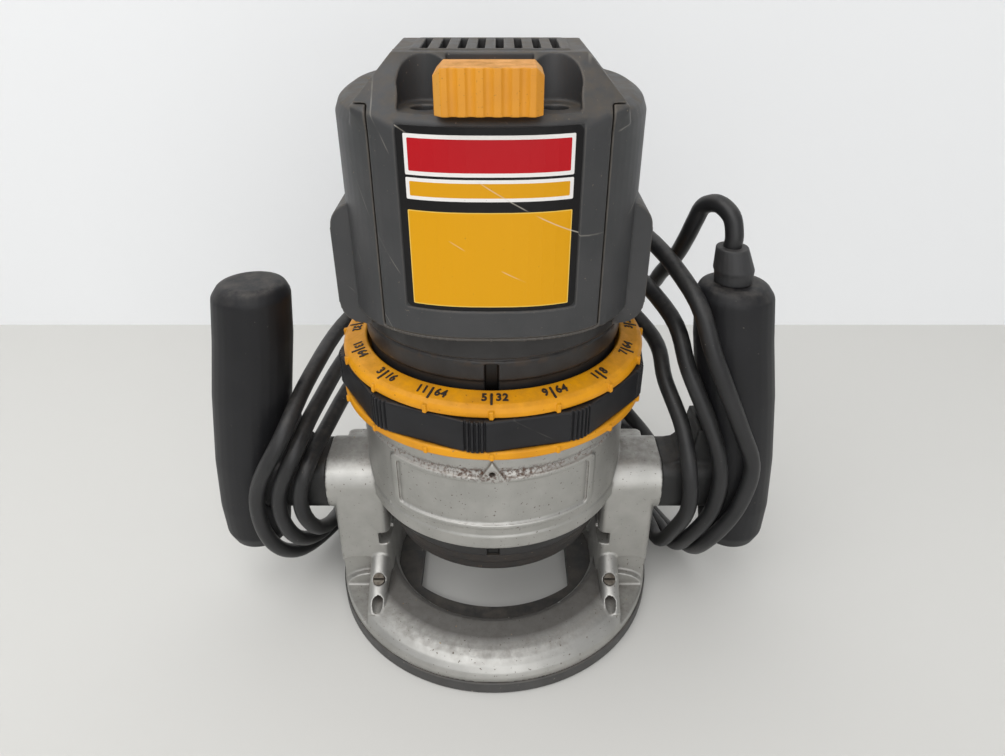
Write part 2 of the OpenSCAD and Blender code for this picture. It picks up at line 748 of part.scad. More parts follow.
module end_bracket() {
    color(black) difference() {
        union() {
            rotate_extrude() polygon([
                [spindle_r + 1, hub_z0], [hub_r - 1.5, hub_z0], [hub_r, hub_z0 + 1.5], [hub_r, bracket_z0],
                [46.4, bracket_z0], [48, bracket_z0 + 1.6], [48, bracket_z0 + 6], [can_r - 0.8, bracket_z0 + 7],
                [can_r - 0.8, can_z0 - fit_gap], [can_in_r - fit_gap, can_z0 - fit_gap], [can_in_r - fit_gap, can_z0 + 5],
                [can_in_r - 3, can_z0 + 5], [can_in_r - 3, bracket_z0 + 4.5], [hub_r, bracket_z0 + 4.5],
                [hub_r, lower_bearing_z0 + lower_bearing_h], [bearing_out_r + fit_gap, lower_bearing_z0 + lower_bearing_h],
                [bearing_out_r + fit_gap, lower_bearing_z0 - fit_gap], [spindle_r + 1, lower_bearing_z0 - fit_gap]
            ]);
        }
        // air outlets between the rim and the hub
        for (a = [0 : 45 : 315]) rotate(a + 22.5) translate([34, 0, bracket_z0 - 1])
            linear_extrude(7) rounded_rect(12, 10, 3);
    }
}

module bracket_screws() {
    color(steel) for (a = [0 : 90 : 270]) rotate(a + 45) translate([can_in_r - 1.6, 0, can_z0 + 5 + fit_gap]) {
        cylinder(r = 1.3, h = 4);
    }
}

module bearing(r, r_in, h) {
    difference() {
        tube(r, r_in, h);
        for (z = [-1, h - 0.8]) translate([0, 0, z]) tube(r - 2.6, r_in + 2.2, 1.8);
    }
}

module lower_bearing() {
    color(steel) translate([0, 0, lower_bearing_z0]) bearing(bearing_out_r, spindle_r + run_gap, lower_bearing_h);
}

module bearing_retainer() {
    z = lower_bearing_z0 + lower_bearing_h + fit_gap;
    color(steel) translate([0, 0, z]) difference() {
        tube(hub_r + 6, bearing_out_r - 4, 1.6);
        for (a = [0 : 120 : 240]) rotate(a) translate([hub_r + 3, 0, -1]) cylinder(r = 1.6, h = 4);
    }
}

module retainer_screws() {
    z = lower_bearing_z0 + lower_bearing_h + fit_gap;
    color(steel) for (a = [0 : 120 : 240]) rotate(a) translate([hub_r + 3, 0, z]) {
        translate([0, 0, -3]) cylinder(r = 1.5, h = 4.7);
        translate([0, 0, 1.6]) cylinder(r = 2.6, h = 1.8);
    }
}

module fan() {
    color("#7c7c7e") translate([0, 0, fan_z0]) {
        tube(fan_r, spindle_r - 0.4 + fit_gap, 1.8);
        tube(14, spindle_r - 0.4 + fit_gap, fan_h);
        for (i = [0 : fan_blades - 1]) rotate(360 * i / fan_blades)
            translate([13.6, -0.8, 1.7]) rotate([0, 0, 12]) cube([fan_r - 16.5, 1.6, fan_h - 1.7]);
    }
}

module fan_baffle() {
    color(black) translate([0, 0, fan_z0 + fan_h + 2]) difference() {
        tube(can_in_r - fit_gap, 27, 2);
    }
}

module field_stator() {
    color("#6e6f72") translate([0, 0, stack_z0]) difference() {
        cylinder(r = field_r, h = stack_h);
        translate([0, 0, -1]) cylinder(r = armature_r + air_gap, h = stack_h + 2);
        // windows beside the two poles for the coils
        for (a = [0, 180]) rotate(a) translate([0, 0, -1]) linear_extrude(stack_h + 2) difference() {
            intersection() {
                circle(r = field_r - 7);
                translate([0, 14]) square([2 * field_r, 20], center = true);
            }
            circle(r = armature_r + air_gap - 1);
        }
    }
}

module field_coils() {
    color(copper) for (s = [-1, 1]) translate([0, 0, stack_z0 - coil_h]) difference() {
        intersection() {
            tube(field_r - 7.5, armature_r + air_gap + 2, stack_h + 2 * coil_h);
            translate([-50, s > 0 ? 4.6 : -23.4, -1]) cube([100, 18.8, 200]);
        }
    }
}

module armature_core() {
    slots = 12;
    color("#77787a") translate([0, 0, stack_z0]) difference() {
        tube(armature_r, spindle_r + fit_gap, stack_h);
        for (i = [0 : slots - 1]) rotate(360 * i / slots) translate([armature_r - 2.5, -1, -1]) cube([4, 2, stack_h + 2]);
    }
}

module armature_windings() {
    color(copper) {
        translate([0, 0, stack_z1 + fit_gap]) tube(armature_r - 3.4, spindle_r + fit_gap, coil_h + 2);
        translate([0, 0, stack_z0 - coil_h - fit_gap]) tube(armature_r - 3.4, spindle_r + fit_gap, coil_h);
    }
}

module commutator() {
    bars = 24;
    color("#b8794a") translate([0, 0, commutator_z0]) difference() {
        tube(commutator_r, upper_spindle_r + 1 + fit_gap, commutator_h);
        for (i = [0 : bars - 1]) rotate(360 * i / bars) translate([commutator_r - 1, -0.25, 2]) cube([3, 0.5, commutator_h]);
    }
}

module spindle() {
    color("#c4c4c6") difference() {
        rotate_extrude() polygon([
            [0, nut_z0 + 4], [spindle_r + 1, nut_z0 + 4], [spindle_r + 1, nut_z1 + 1], [12, nut_z1 + 1],
            [12, nut_z1 + 7], [spindle_r, nut_z1 + 8], [spindle_r, lower_bearing_z0 + lower_bearing_h + 1],
            [spindle_r - 0.4, lower_bearing_z0 + lower_bearing_h + 2], [spindle_r - 0.4, fan_z0 + fan_h + 1],
            [spindle_r, fan_z0 + fan_h + 2], [spindle_r, stack_z1 + coil_h + 4],
            [upper_spindle_r + 1, stack_z1 + coil_h + 5],
            [upper_spindle_r + 1, upper_bearing_z0 - 1.2], [upper_spindle_r, upper_bearing_z0 - 0.4],
            [upper_spindle_r, upper_bearing_z0 + upper_bearing_h], [0, upper_bearing_z0 + upper_bearing_h]
        ]);
        translate([0, 0, nut_z0 + 3]) cylinder(r = shank_r + 1.6 + fit_gap, h = collet_depth - 3);
        translate([0, 0, nut_z0 + collet_depth - e]) cylinder(r1 = shank_r + 1.6, r2 = 2, h = 5);
        // spanner flats on the shoulder
        for (s = [-1, 1]) translate([-20, s > 0 ? 10.5 : -30.5, nut_z1 + 0.5]) cube([40, 20, 6.6]);
    }
}

module collet() {
    color("#8f9093") difference() {
        union() {
            translate([0, 0, nut_z0 + 4.4]) cylinder(r = shank_r + 1.6, h = collet_depth - 5.4);
            translate([0, 0, nut_z0 + 1.2]) cylinder(r = shank_r + 1.2, h = 3.4);
        }
        translate([0, 0, nut_z0]) cylinder(r = shank_r, h = collet_depth + 2);
        for (a = [0, 120, 240]) rotate(a) translate([shank_r - 1, -0.5, nut_z0]) cube([6, 1, collet_depth - 6]);
    }
}

module collet_nut() {
    color("#5c5d60") difference() {
        intersection() {
            union() {
                translate([0, 0, nut_z0 + 5]) cylinder(r = nut_af / 2 / cos(30), h = nut_h - 5, $fn = 6);
                cylinder_at(nut_z0, 10, nut_af / 2, 5 + e);
            }
            translate([0, 0, nut_z0]) cylinder(r = nut_af / 2 / cos(30) - 0.7, h = nut_h);
        }
        translate([0, 0, nut_z0 - 1]) cylinder(r = shank_r + 1.2 + run_gap, h = nut_h + 2);
        translate([0, 0, nut_z0 + 4 - run_gap]) cylinder(r = spindle_r + 1 + run_gap, h = nut_h);
    }
}

module cylinder_at(z, r1, r2, h) {
    translate([0, 0, z]) cylinder(r1 = r1, r2 = r2, h = h);
}

/* Upper bracket and brushes */

module upper_bracket() {
    plate_z = upper_bearing_z0 - 6;
    color(black) difference() {
        union() {
            translate([0, 0, plate_z]) linear_extrude(4) body_section(body_wall + fit_gap);
            translate([0, 0, plate_z]) cylinder(r = upper_bearing_r + 4, h = upper_bearing_h + 8);
            // posts under the cover's screws
            at_cover_screws() translate([0, 0, plate_z - well_z]) cylinder(r = 4.5, h = well_z - plate_z - 2 - fit_gap);
        }
        at_cover_screws() translate([0, 0, -16]) cylinder(r = cover_screw_r + fit_gap, h = 16);
        translate([0, 0, upper_bearing_z0]) cylinder(r = upper_bearing_r + fit_gap, h = upper_bearing_h + fit_gap);
        translate([0, 0, plate_z - 1]) cylinder(r = upper_bearing_r - 4, h = 8);
        translate([0, 0, upper_bearing_z0 + upper_bearing_h]) cylinder(r = upper_bearing_r - 5, h = 8);
        // air ways round the hub
        for (a = [30 : 60 : 330]) rotate(a) translate([33, 0, plate_z - 1]) linear_extrude(6) rounded_rect(14, 14, 4);
    }
}

module upper_bearing() {
    color(steel) translate([0, 0, upper_bearing_z0])
        bearing(upper_bearing_r, upper_spindle_r + run_gap, upper_bearing_h);
}

brush_w = 6;
brush_in_x = commutator_r + 0.3;

module each_brush() {
    for (s = [0, 1]) mirror([s, 0, 0]) translate([0, 0, brush_z]) children();
}

module brush_holders() {
    x1 = lobe_half_w - body_wall - 0.3;
    color("#b08d4c") each_brush() difference() {
        union() {
            rod_x_axis(commutator_r + 3, x1, brush_tube_r);
            translate([commutator_r + 12, 0, 5.2]) rounded_block([8, 9, 11.6 - fit_gap * 2], 1);
        }
        translate([commutator_r + 2, -brush_w / 2 - fit_gap, -brush_w / 2 - fit_gap])
            cube([80, brush_w + 2 * fit_gap, brush_w + 2 * fit_gap]);
    }
}

module brushes() {
    color("#38383a") each_brush() translate([brush_in_x, -brush_w / 2, -brush_w / 2]) cube([17, brush_w, brush_w]);
}

module brush_springs() {
    x0 = brush_in_x + 17;
    x1 = lobe_half_w - body_wall - 0.6;
    color(steel) each_brush() difference() {
        rod_x_axis(x0, x1, 2.6);
        rod_x_axis(x0 - 1, x1 + 1, 1.8);
    }
}

module brush_caps() {
    color(black) each_brush() difference() {
        rod_x_axis(lobe_half_w - body_wall - 0.2, lobe_half_w - 0.2, brush_tube_r + 0.6);
        translate([lobe_half_w - 1.2, -brush_tube_r, -0.8]) cube([4, 2 * brush_tube_r, 1.6]);
    }
}

/* Housing */

// Rounded-square outline of the housing, drawn inward by inset
module body_section(inset) {
    mid_y = (body_back_y - body_front_y) / 2;
    half_d = (body_back_y + body_front_y) / 2 - inset;
    polygon([for (i = [0 : 79]) let (a = 4.5 * i)
        [(body_half_w - inset) * signed_power(cos(a), 0.8), mid_y + half_d * signed_power(sin(a), 0.8)]]);
}

module body_outer(inset) {
    shoulder_z = ledge_z + 0.6;
    low = inset > 0 ? 1 : 0;
    translate([0, 0, body_z0 - low]) linear_extrude(shoulder_z - 5.4 - body_z0 + low) body_section(inset);
    // flat shoulders with a rounded edge
    hull() {
        translate([0, 0, shoulder_z - 6.4]) linear_extrude(1) body_section(inset);
        translate([0, 0, shoulder_z - 3 - inset]) linear_extrude(1) body_section(inset + 1.3);
        translate([0, 0, shoulder_z - 1 - inset]) linear_extrude(1) body_section(inset + 4.5);
    }
    // raised middle with slanted sides
    hull() {
        translate([0, 0, shoulder_z - 6.4]) linear_extrude(1) intersection() {
            body_section(inset);
            square([2 * cover_half_w + 13 - 2 * inset, 140], center = true);
        }
        translate([-cover_half_w - 5 + inset, -body_front_y + 12 + inset, shoulder_z - 1 - inset])
            cube([2 * (cover_half_w + 5 - inset), body_front_y + body_back_y - 18 - 2 * inset, 1.5]);
        translate([-recess_half_w - 2.8 + inset * 0.4, -recess_back_y + inset, body_z1 - 1 - inset])
            cube([2 * recess_half_w + 5.6 - inset * 0.8, recess_back_y + 3.5 - inset, 1]);
    }
    along_y(-lobe_half_d + inset, lobe_half_d - inset) translate([0, (lobe_z0 + lobe_z1) / 2])
        rounded_rect(2 * (lobe_half_w - inset), lobe_z1 - lobe_z0 - 2 * inset, 9 - inset);
}

// The part of the outer shape that belongs to the cover; gap is the seam
module cover_region(gap) {
    w = cover_half_w - gap;
    translate([-w, -80, body_z0 + 1]) cube([2 * w, 80 - 22 - gap, 120]);
    translate([-60, -80, ledge_z + 1.6 + gap]) cube([120, 160, 40]);
}

module switch_recess(grow) {
    r = 8 + grow;
    translate([-recess_half_w - grow, -80, ledge_z - grow])
        cube([2 * (recess_half_w + grow), 80 - recess_back_y - 9, 60]);
    translate([-recess_half_w + 14, -recess_back_y - 12, ledge_z - grow])
        cube([2 * recess_half_w - 28, 12 + grow, 60]);
    for (s = [-1, 1]) translate([s * (recess_half_w - 7.5), -recess_back_y - 8, ledge_z - grow])
        cylinder(r = r, h = 60);
}

module at_cover_screws() {
    for (s = [-1, 1], y = [-recess_back_y - 9, 32]) translate([s * 20, y, well_z]) children();
}

module top_cover() {
    slot_len = 25;
    grille_y1 = -1;
    color(charcoal) difference() {
        union() {
            difference() {
                intersection() {
                    body_outer(0);
                    cover_region(0.15);
                }
                body_outer(body_wall);
            }
            intersection() {
                body_outer(0);
                cover_region(0.15);
                union() {
                    switch_recess(body_wall);
                    at_cover_screws() translate([0, 0, -2]) cylinder(r = 5.6, h = 30);
                }
            }
            // wells of the screws below the cover's skin
            at_cover_screws() translate([0, 0, -2]) cylinder(r = 5.6, h = ledge_z - well_z);
            // raised border of the grille
            translate([0, grille_y1 - slot_len / 2, body_z1 - 0.5])
                rounded_block([vent_count * vent_pitch + 2, slot_len + 3, 2], 2);
        }
        switch_recess(0);
        // label seat
        difference() {
            translate([-label_w / 2 - 0.3, -80, label_z0 - 0.3]) cube([label_w + 0.6, 60, label_h + 0.6]);
            translate([0, 0, label_z0 - 2]) linear_extrude(label_h + 4) body_section(label_recess);
        }
        for (i = [0 : vent_count - 1])
            translate([(i - (vent_count - 1) / 2) * vent_pitch - vent_w / 2, grille_y1 - slot_len, body_z1 - 12])
                cube([vent_w, slot_len, 20]);
        // slot for the knob's stem
        translate([-switch_stem_w / 2 - 1, -recess_back_y - 1, ledge_z + 4])
            cube([switch_stem_w + knob_travel + 2, body_wall + 2, 7]);
        at_cover_screws() {
            cylinder(r = 4.2, h = 60);
            translate([0, 0, -5]) cylinder(r = cover_screw_r + fit_gap, h = 10);
        }
    }
}

module cover_screws() {
    color(steel) at_cover_screws() {
        translate([0, 0, -14]) cylinder(r = cover_screw_r, h = 14 + e);
        difference() {
            cylinder(r = 3.6, h = 2.2);
            cube([8, 0.9, 6], center = true);
        }
    }
}

module label_plate() {
    color("#1c1c1e") intersection() {
        translate([-label_w / 2, -80, label_z0]) cube([label_w, 60, label_h]);
        translate([0, 0, label_z0 - 1]) linear_extrude(label_h + 2) difference() {
            body_section(0.3);
            body_section(0.3 + label_t);
        }
    }
}

module motor_housing() {
    color(charcoal) difference() {
        union() {
            difference() {
                body_outer(0);
                body_outer(body_wall);
            }
            // flange that stands on the can
            translate([0, 0, body_z0]) linear_extrude(4) difference() {
                body_section(1);
                circle(r = can_in_r - 2);
            }
        }
        cover_region(-0.15);
        translate([0, 0, lobe_z0 - 5]) cylinder(r = neck_r + 0.9 + fit_gap, h = body_z0 - lobe_z0 + 5);
        each_brush() rod_x_axis(lobe_half_w - 8, lobe_half_w + 2, brush_tube_r + 0.6 + fit_gap);
        at_housing_screws() translate([0, 0, -6]) cylinder(r = 1.6, h = 12);
    }
}

module at_housing_screws() {
    for (a = [45 : 90 : 315]) rotate(a) translate([can_in_r + 0.7, 0, body_z0]) children();
}

module housing_screws() {
    color(steel) at_housing_screws() {
        translate([0, 0, 0.2]) cylinder(r = 1.5, h = 3.9);
        translate([0, 0, 4 + fit_gap]) cylinder(r = 2.6, h = 1.8);
    }
}

module switch_body() {
    y0 = -recess_back_y + body_wall + 0.1;
    color("#26262a") difference() {
        translate([knob_travel / 2, y0 + 9, ledge_z + 1.5]) rounded_block([32, 18, 17], 1.5);
        translate([-switch_stem_w / 2 - 1, y0 - 1, ledge_z + 4]) cube([switch_stem_w + knob_travel + 2, 6, 9]);
    }
}

module switch_knob() {
    flutes = 5;
    y1 = knob_front_y + knob_d;
    w = knob_w / 2;
    chamfer = 2.2;
    color(yellow) {
        difference() {
            along_y(knob_front_y, y1) polygon([
                [-w, knob_z0], [w, knob_z0], [w, knob_z1 - chamfer], [w - chamfer, knob_z1],
                [-w + chamfer, knob_z1], [-w, knob_z1 - chamfer]
            ]);
            // bevelled upright edges of the front
            for (s = [-1, 1]) translate([s * w, knob_front_y, knob_z0 - 1]) rotate(45)
                translate([-1.6, -1.6, 0]) cube([3.2, 3.2, 30]);
            for (i = [0 : flutes - 1]) translate([(i - (flutes - 1) / 2) * 5, knob_front_y - 1.2, knob_z0 - 1])
                cylinder(r = 1.9, h = knob_h + 3);
        }
        // stem into the switch
        translate([-switch_stem_w / 2, y1 - e, ledge_z + 4.5])
            cube([switch_stem_w, -recess_back_y + body_wall + 4 - y1, 5]);
    }
}

/* Cord */

cord_r = cord_d / 2;
cord_sides = 6;
rings_per_turn = 24;
// Places that one turn passes, for the innermost turn and for the outermost one
turn_inner = [
    [38, 78, 126], [0, 83, 119], [-38, 71, 109], [-66, 40, 94],
    [-77.5, -4, 86], [-81, -23.6, 82], [-85.5, -25.8, 68], [-85, -25.4, 55],
    [-82, -18, 42], [-79.5, 2, 30], [-78, 24, 25], [-62, 54, 22],
    [-26, 80, 24], [26, 80, 24], [62, 54, 21], [79, 20, 16],
    [83, 0, 17], [85.5, -15, 38], [87, -25.4, 60], [85, -25.8, 80],
    [81.5, -15.5, 98], [75, -1.5, 113], [72, 17, 124], [56, 54, 131]
];
turn_outer = [
    [38, 74, 154], [0, 82, 147], [-38, 72, 137], [-70, 44, 121],
    [-80.5, 2, 114], [-88.5, -26.4, 100], [-102.5, -27.6, 74], [-105.5, -25.6, 50],
    [-102, -19.5, 30], [-95.5, -5, 16], [-86, 20, 9], [-72, 60, 4.2],
    [-30, 92, 4.2], [30, 92, 4.2], [74, 58, 4.2], [93, 22, 5],
    [99, -1, 13], [99.5, -22, 37], [107.5, -27.3, 60], [110.8, -27, 84],
    [102, -27.6, 106], [87, -25.8, 138], [77.5, -13, 161], [60, 33, 171]
];
// The lead from the strain relief, over its arch and behind the tool
lead_in = [
    [relief_top[0], -7, relief_top[2]], [92.4, -7, 181.5], [90.9, -4.7, 188.0], [87.0, 1.2, 191.0], [83.1, 7.2, 188.2],
    [81.4, 10.2, 181.5], [80.0, 14.5, 172.5], [78.2, 21.5, 161.5], [75.6, 33, 149], [73.5, 45, 138], [62, 64, 130]
];
// The end that runs back behind the collar and down to the plug
lead_out = [
    [26, 76, 168], [-10, 94, 156], [-42, 96, 138], [-56, 92, 118], [-50, 88, 100], [-22, 90, 92.5],
    [14, 90, 92.5], [46, 72, 84], [66, 46, 68], [79, 45, 52], [89, 54, 34], [97, 72, 16], [98, 92, 8],
    [88, 110, 8], [72, 117, 8], [58, 116, 8], [50, 116, 8]
];

stations = len(turn_inner);
function turn_point(i, k) = turn_inner[i] + (turn_outer[i] - turn_inner[i]) * (k / (cord_turns - 1));
route = concat(lead_in, [for (k = [0 : cord_turns - 1]) for (i = [0 : stations - 1]) turn_point(i, k)], lead_out);

// Smooth curve through the route's points; t counts points
function route_at(t) = let (
    n = len(route), i = min(floor(t), n - 2), u = t - i,
    a = route[max(i - 1, 0)], b = route[i], c = route[i + 1], d = route[min(i + 2, n - 1)]
) 0.5 * ((2 * b) + (c - a) * u + (2 * a - 5 * b + 4 * c - d) * u * u + (3 * b - a - 3 * c + d) * u * u * u);

turns_t0 = len(lead_in);
turns_t1 = turns_t0 + cord_turns * stations;
ring_places = concat(
    [for (i = [0 : turns_t0 - 1]) i],
    [for (i = [0 : cord_turns * rings_per_turn - 1]) turns_t0 + i * stations / rings_per_turn],
    [for (i = [0 : len(lead_out) - 1]) turns_t1 + i]
);
cord_path = [for (t = ring_places) route_at(t)];

function unit(v) = v / norm(v);
function path_dir(p, i) = unit(p[min(i + 1, len(p) - 1)] - p[max(i - 1, 0)]);
// Carries one upright direction along the path without twist
function carry(p, i, v) = let (d = path_dir(p, i)) unit(v - (v * d) * d);
function carried(p, i = 0, v = [0, 1, 0]) = i == len(p) ? [] :
    let (w = carry(p, i, v)) concat([w], carried(p, i + 1, w));
cord_ups = carried(cord_path);
function cord_ring(i) = let (d = path_dir(cord_path, i), up = cord_ups[i], side = cross(d, up), r = 1.05 * cord_r)
    [for (j = [0 : cord_sides - 1]) cord_path[i] + r * (cos(360 * j / cord_sides) * up + sin(360 * j / cord_sides) * side)];

// Least distance between far parts of the cord, from points along it
gap_step = 0.2;
gap_points = [for (t = [0 : gap_step : len(route) - 1]) route_at(t)];
gap_skip = 20;
function near(i) = min([for (j = [i + gap_skip : 1 : len(gap_points) - 1]) norm(gap_points[i] - gap_points[j])]);
cord_self_gap = min([for (i = [0 : len(gap_points) - gap_skip - 2]) near(i)]) - cord_d;
function path_length(p, i = 0) = i >= len(p) - 1 ? 0 : norm(p[i + 1] - p[i]) + path_length(p, i + 1);
echo(cord_self_gap = cord_self_gap, cord_length = path_length(gap_points));

module power_cord() {
    color(black) loft([for (i = [0 : len(cord_path) - 1]) cord_ring(i)]);
}

module strain_relief() {
    z0 = grip_top[1] + 0.05;
    rings = [[grip_top[0] - 0.6, 0, 7.4], [94.7, 4.2, 7.7], [94.4, 5.6, 8.0], [relief_top[0], relief_h, 6.2]];
    color(black) union() {
        loft([for (g = rings) [for (p = circle_points(g[2], 24)) [g[0] + p[0], -handle_y + p[1], z0 + g[1]]]]);
        translate([grip_top[0], -handle_y, z0 - 8]) cylinder(r = 5, h = 9);
    }
}

plug_w = 26;
plug_len = 34;
plug_h = 16;

module plug_body() {
    at = last(route);
    color(black) translate([at[0] - plug_len, at[1], at[2]]) rotate([0, 90, 0]) union() {
        translate([0, 0, 10]) cylinder(r1 = 7, r2 = 5, h = plug_len - 10);
        translate([0, 0, 6]) rounded_block([plug_h, plug_w, 12], 5);
    }
}

module plug_blades() {
    at = last(route);
    color(steel) for (s = [-1, 1]) translate([at[0] - plug_len - 17.5, at[1] + s * 6.35 - 0.75, at[2] - 3.2])
        cube([17.5, 1.5, 6.4]);
}

base_casting();
sub_base();
sub_base_screws();
guide_rod_screws();
guide_pin();
clamp_bolt();
clamp_washer();
clamp_lever();
left_handle_frame();
right_handle_frame();
left_soft_grip();
right_soft_grip();
handle_bolts();
terminal_block();
depth_ring();
ring_grip_band();
motor_can();
end_bracket();
bracket_screws();
lower_bearing();
bearing_retainer();
retainer_screws();
fan_baffle();
field_stator();
field_coils();
upper_bracket();
upper_bearing();
brush_holders();
brushes();
brush_springs();
brush_caps();
motor_housing();
housing_screws();
top_cover();
cover_screws();
label_plate();
switch_body();
switch_knob();
spindle();
armature_core();
armature_windings();
commutator();
fan();
collet();
collet_nut();
strain_relief();
power_cord();
plug_body();
plug_blades();
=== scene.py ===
# %% [markdown]
# # A fixed-base router in Blender
#
# A fixed-base router is a motor that slides in a round cast foot. This lesson takes the exact solids of such
# a tool from a CAD frame and gives each one the look of the worn original: satin casting, textured black
# housing, a yellow depth ring, soft grips and a long cord wound round it all.
#
# The frame stays as it is. We only add finishes, and new pieces where a solid is too plain.

# %% Load the fixed frame
import json
import math
from fractions import Fraction

import bmesh
import bpy
from mathutils import Matrix, Vector

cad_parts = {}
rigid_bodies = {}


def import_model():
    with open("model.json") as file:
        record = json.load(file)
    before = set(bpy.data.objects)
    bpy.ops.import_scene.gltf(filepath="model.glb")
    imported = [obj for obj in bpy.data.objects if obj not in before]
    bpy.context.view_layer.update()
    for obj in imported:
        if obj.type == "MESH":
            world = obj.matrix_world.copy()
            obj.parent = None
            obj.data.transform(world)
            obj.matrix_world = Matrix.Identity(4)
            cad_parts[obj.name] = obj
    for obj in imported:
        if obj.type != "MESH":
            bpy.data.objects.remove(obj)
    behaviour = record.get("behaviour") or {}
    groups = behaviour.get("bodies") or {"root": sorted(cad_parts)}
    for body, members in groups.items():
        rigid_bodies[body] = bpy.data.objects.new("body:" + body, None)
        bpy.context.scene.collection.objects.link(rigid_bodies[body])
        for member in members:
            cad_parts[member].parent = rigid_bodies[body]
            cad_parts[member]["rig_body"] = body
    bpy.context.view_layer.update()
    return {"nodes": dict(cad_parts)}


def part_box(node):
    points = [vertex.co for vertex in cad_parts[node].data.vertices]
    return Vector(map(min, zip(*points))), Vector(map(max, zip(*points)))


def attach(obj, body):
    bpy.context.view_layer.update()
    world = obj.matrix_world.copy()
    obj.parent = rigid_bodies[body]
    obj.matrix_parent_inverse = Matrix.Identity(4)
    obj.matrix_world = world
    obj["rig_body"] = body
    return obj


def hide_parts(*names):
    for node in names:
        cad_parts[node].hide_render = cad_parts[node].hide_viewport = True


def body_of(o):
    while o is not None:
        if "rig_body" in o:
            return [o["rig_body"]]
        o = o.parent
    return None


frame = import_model()
scene = bpy.context.scene

# %% [markdown]
# ## Camera and colour
#
# The photograph looks down on the tool at about 32 degrees from close by, with a wide lens. Such a view makes
# the top of the tool larger than its foot, so both the place and the lens have to match. The standard view
# transform keeps every colour as it is written.

# %% Set the camera
eye = bpy.data.cameras.new("eye")
sensor_mm, focal_px, picture_px = 36, 726, 1005
eye.sensor_width = sensor_mm
eye.lens = focal_px / picture_px * sensor_mm
eye.clip_start = 0.01
camera = bpy.data.objects.new("camera", eye)
camera.location = (0.00388, -0.2714, 0.2806)
looks_down = 31.68
camera.rotation_euler = (math.radians(90 - looks_down), 0, 0)
scene.collection.objects.link(camera)
scene.camera = camera
scene.view_settings.view_transform = "Standard"
print("lens in mm:", round(eye.lens, 2))

# %% [markdown]
# ## Three small helpers
#
# A web colour is brighter than the linear numbers that a shader mixes, so one function converts it. Another
# adds a node, sets it and links it. A third makes an object from a mesh. All later cells stand on these.

# %% Colours, nodes and objects
MM = 0.001


def paint(code):
    parts = [int(code[i : i + 2], 16) / 255 for i in (1, 3, 5)]
    return [p / 12.92 if p <= 0.04045 else ((p + 0.055) / 1.055) ** 2.4 for p in parts] + [1.0]


def add(tree, kind, inputs=None, **settings):
    made = tree.nodes.new(kind)
    for name, value in settings.items():
        setattr(made, name, value)
    for key, value in (inputs or {}).items():
        if isinstance(value, bpy.types.NodeSocket):
            tree.links.new(value, made.inputs[key])
        else:
            made.inputs[key].default_value = value
    return made


def place(name, data):
    made = bpy.data.objects.new(name, data)
    scene.collection.objects.link(made)
    return made


print("charcoal in linear light:", [round(v, 3) for v in paint("#403e3e")])

# %% [markdown]
# ## A base for every finish
#
# Moulded plastic, cast metal and rubber have three things in common: patches of slightly different colour,
# a fine grain that breaks up the highlight, and edges that are never quite sharp. This function lays down
# those three. Sizes are given in millimetres of the real surface, and the pattern follows the object's own
# coordinates, so it stays put when the part moves.

# %% Make a finish
def finish(name, colour, second, rough, metal=0.0, patch=14, grain=0.6, deep=0.02, edge=0.3, spread=0.1,
           gloss=0.5):
    material = bpy.data.materials.new(name)
    material.use_nodes = True
    tree = material.node_tree
    skin = tree.nodes["Principled BSDF"]
    skin.inputs["Metallic"].default_value = metal
    skin.inputs["Specular IOR Level"].default_value = gloss
    where = add(tree, "ShaderNodeTexCoord")
    patches = add(tree, "ShaderNodeTexNoise",
                  {"Vector": where.outputs["Object"], "Scale": 1000 / patch, "Detail": 6.0})
    spot = add(tree, "ShaderNodeMapRange",
               {"Value": patches.outputs["Fac"], "From Min": 0.35, "From Max": 0.65})
    tint = add(tree, "ShaderNodeMix", {0: spot.outputs[0], 6: paint(colour), 7: paint(second)},
               data_type="RGBA")
    tree.links.new(tint.outputs[2], skin.inputs["Base Color"])
    shine = add(tree, "ShaderNodeMapRange",
                {"Value": patches.outputs["Fac"], "To Min": rough - spread, "To Max": rough + spread})
    tree.links.new(shine.outputs[0], skin.inputs["Roughness"])
    pores = add(tree, "ShaderNodeTexNoise",
                {"Vector": where.outputs["Object"], "Scale": 1000 / grain, "Detail": 2.0})
    soft_edge = add(tree, "ShaderNodeBevel", {"Radius": edge * MM}, samples=4)
    bump = add(tree, "ShaderNodeBump",
               {"Height": pores.outputs["Fac"], "Distance": deep * MM, "Normal": soft_edge.outputs[0]})
    tree.links.new(bump.outputs[0], skin.inputs["Normal"])
    return material


# %% [markdown]
# ## Wear, grime, dust and painted shade
#
# Years in a workshop show in three places. Edges rub bright, and on some parts this also stands in for a
# painted highlight. Hollows hold dark grime, which is also painted shade, because its mask is ambient
# occlusion. Faces that look up gather dust. Each is a mask laid over the colour: the mesh's own pointiness
# finds edges, ambient occlusion finds hollows, and the surface direction finds the faces that look up. A
# noise breaks each one up.

# %% Lay a colour over a finish
def lay_over(material, code, mask, amount=1.0, dull=None):
    tree = material.node_tree
    skin = tree.nodes["Principled BSDF"]
    under = skin.inputs["Base Color"].links[0].from_socket
    part = add(tree, "ShaderNodeMath", {0: mask, 1: amount}, operation="MULTIPLY", use_clamp=True)
    top = add(tree, "ShaderNodeMix", {0: part.outputs[0], 6: under, 7: paint(code)}, data_type="RGBA")
    tree.links.new(top.outputs[2], skin.inputs["Base Color"])
    if dull is not None:
        for name, over in (("Roughness", dull), ("Metallic", 0.0)):
            socket = skin.inputs[name]
            now = socket.links[0].from_socket if socket.is_linked else socket.default_value
            if socket.is_linked or now > 0:
                mixed = add(tree, "ShaderNodeMix", {0: part.outputs[0], 2: now, 3: over})
                tree.links.new(mixed.outputs[0], socket)
    return material
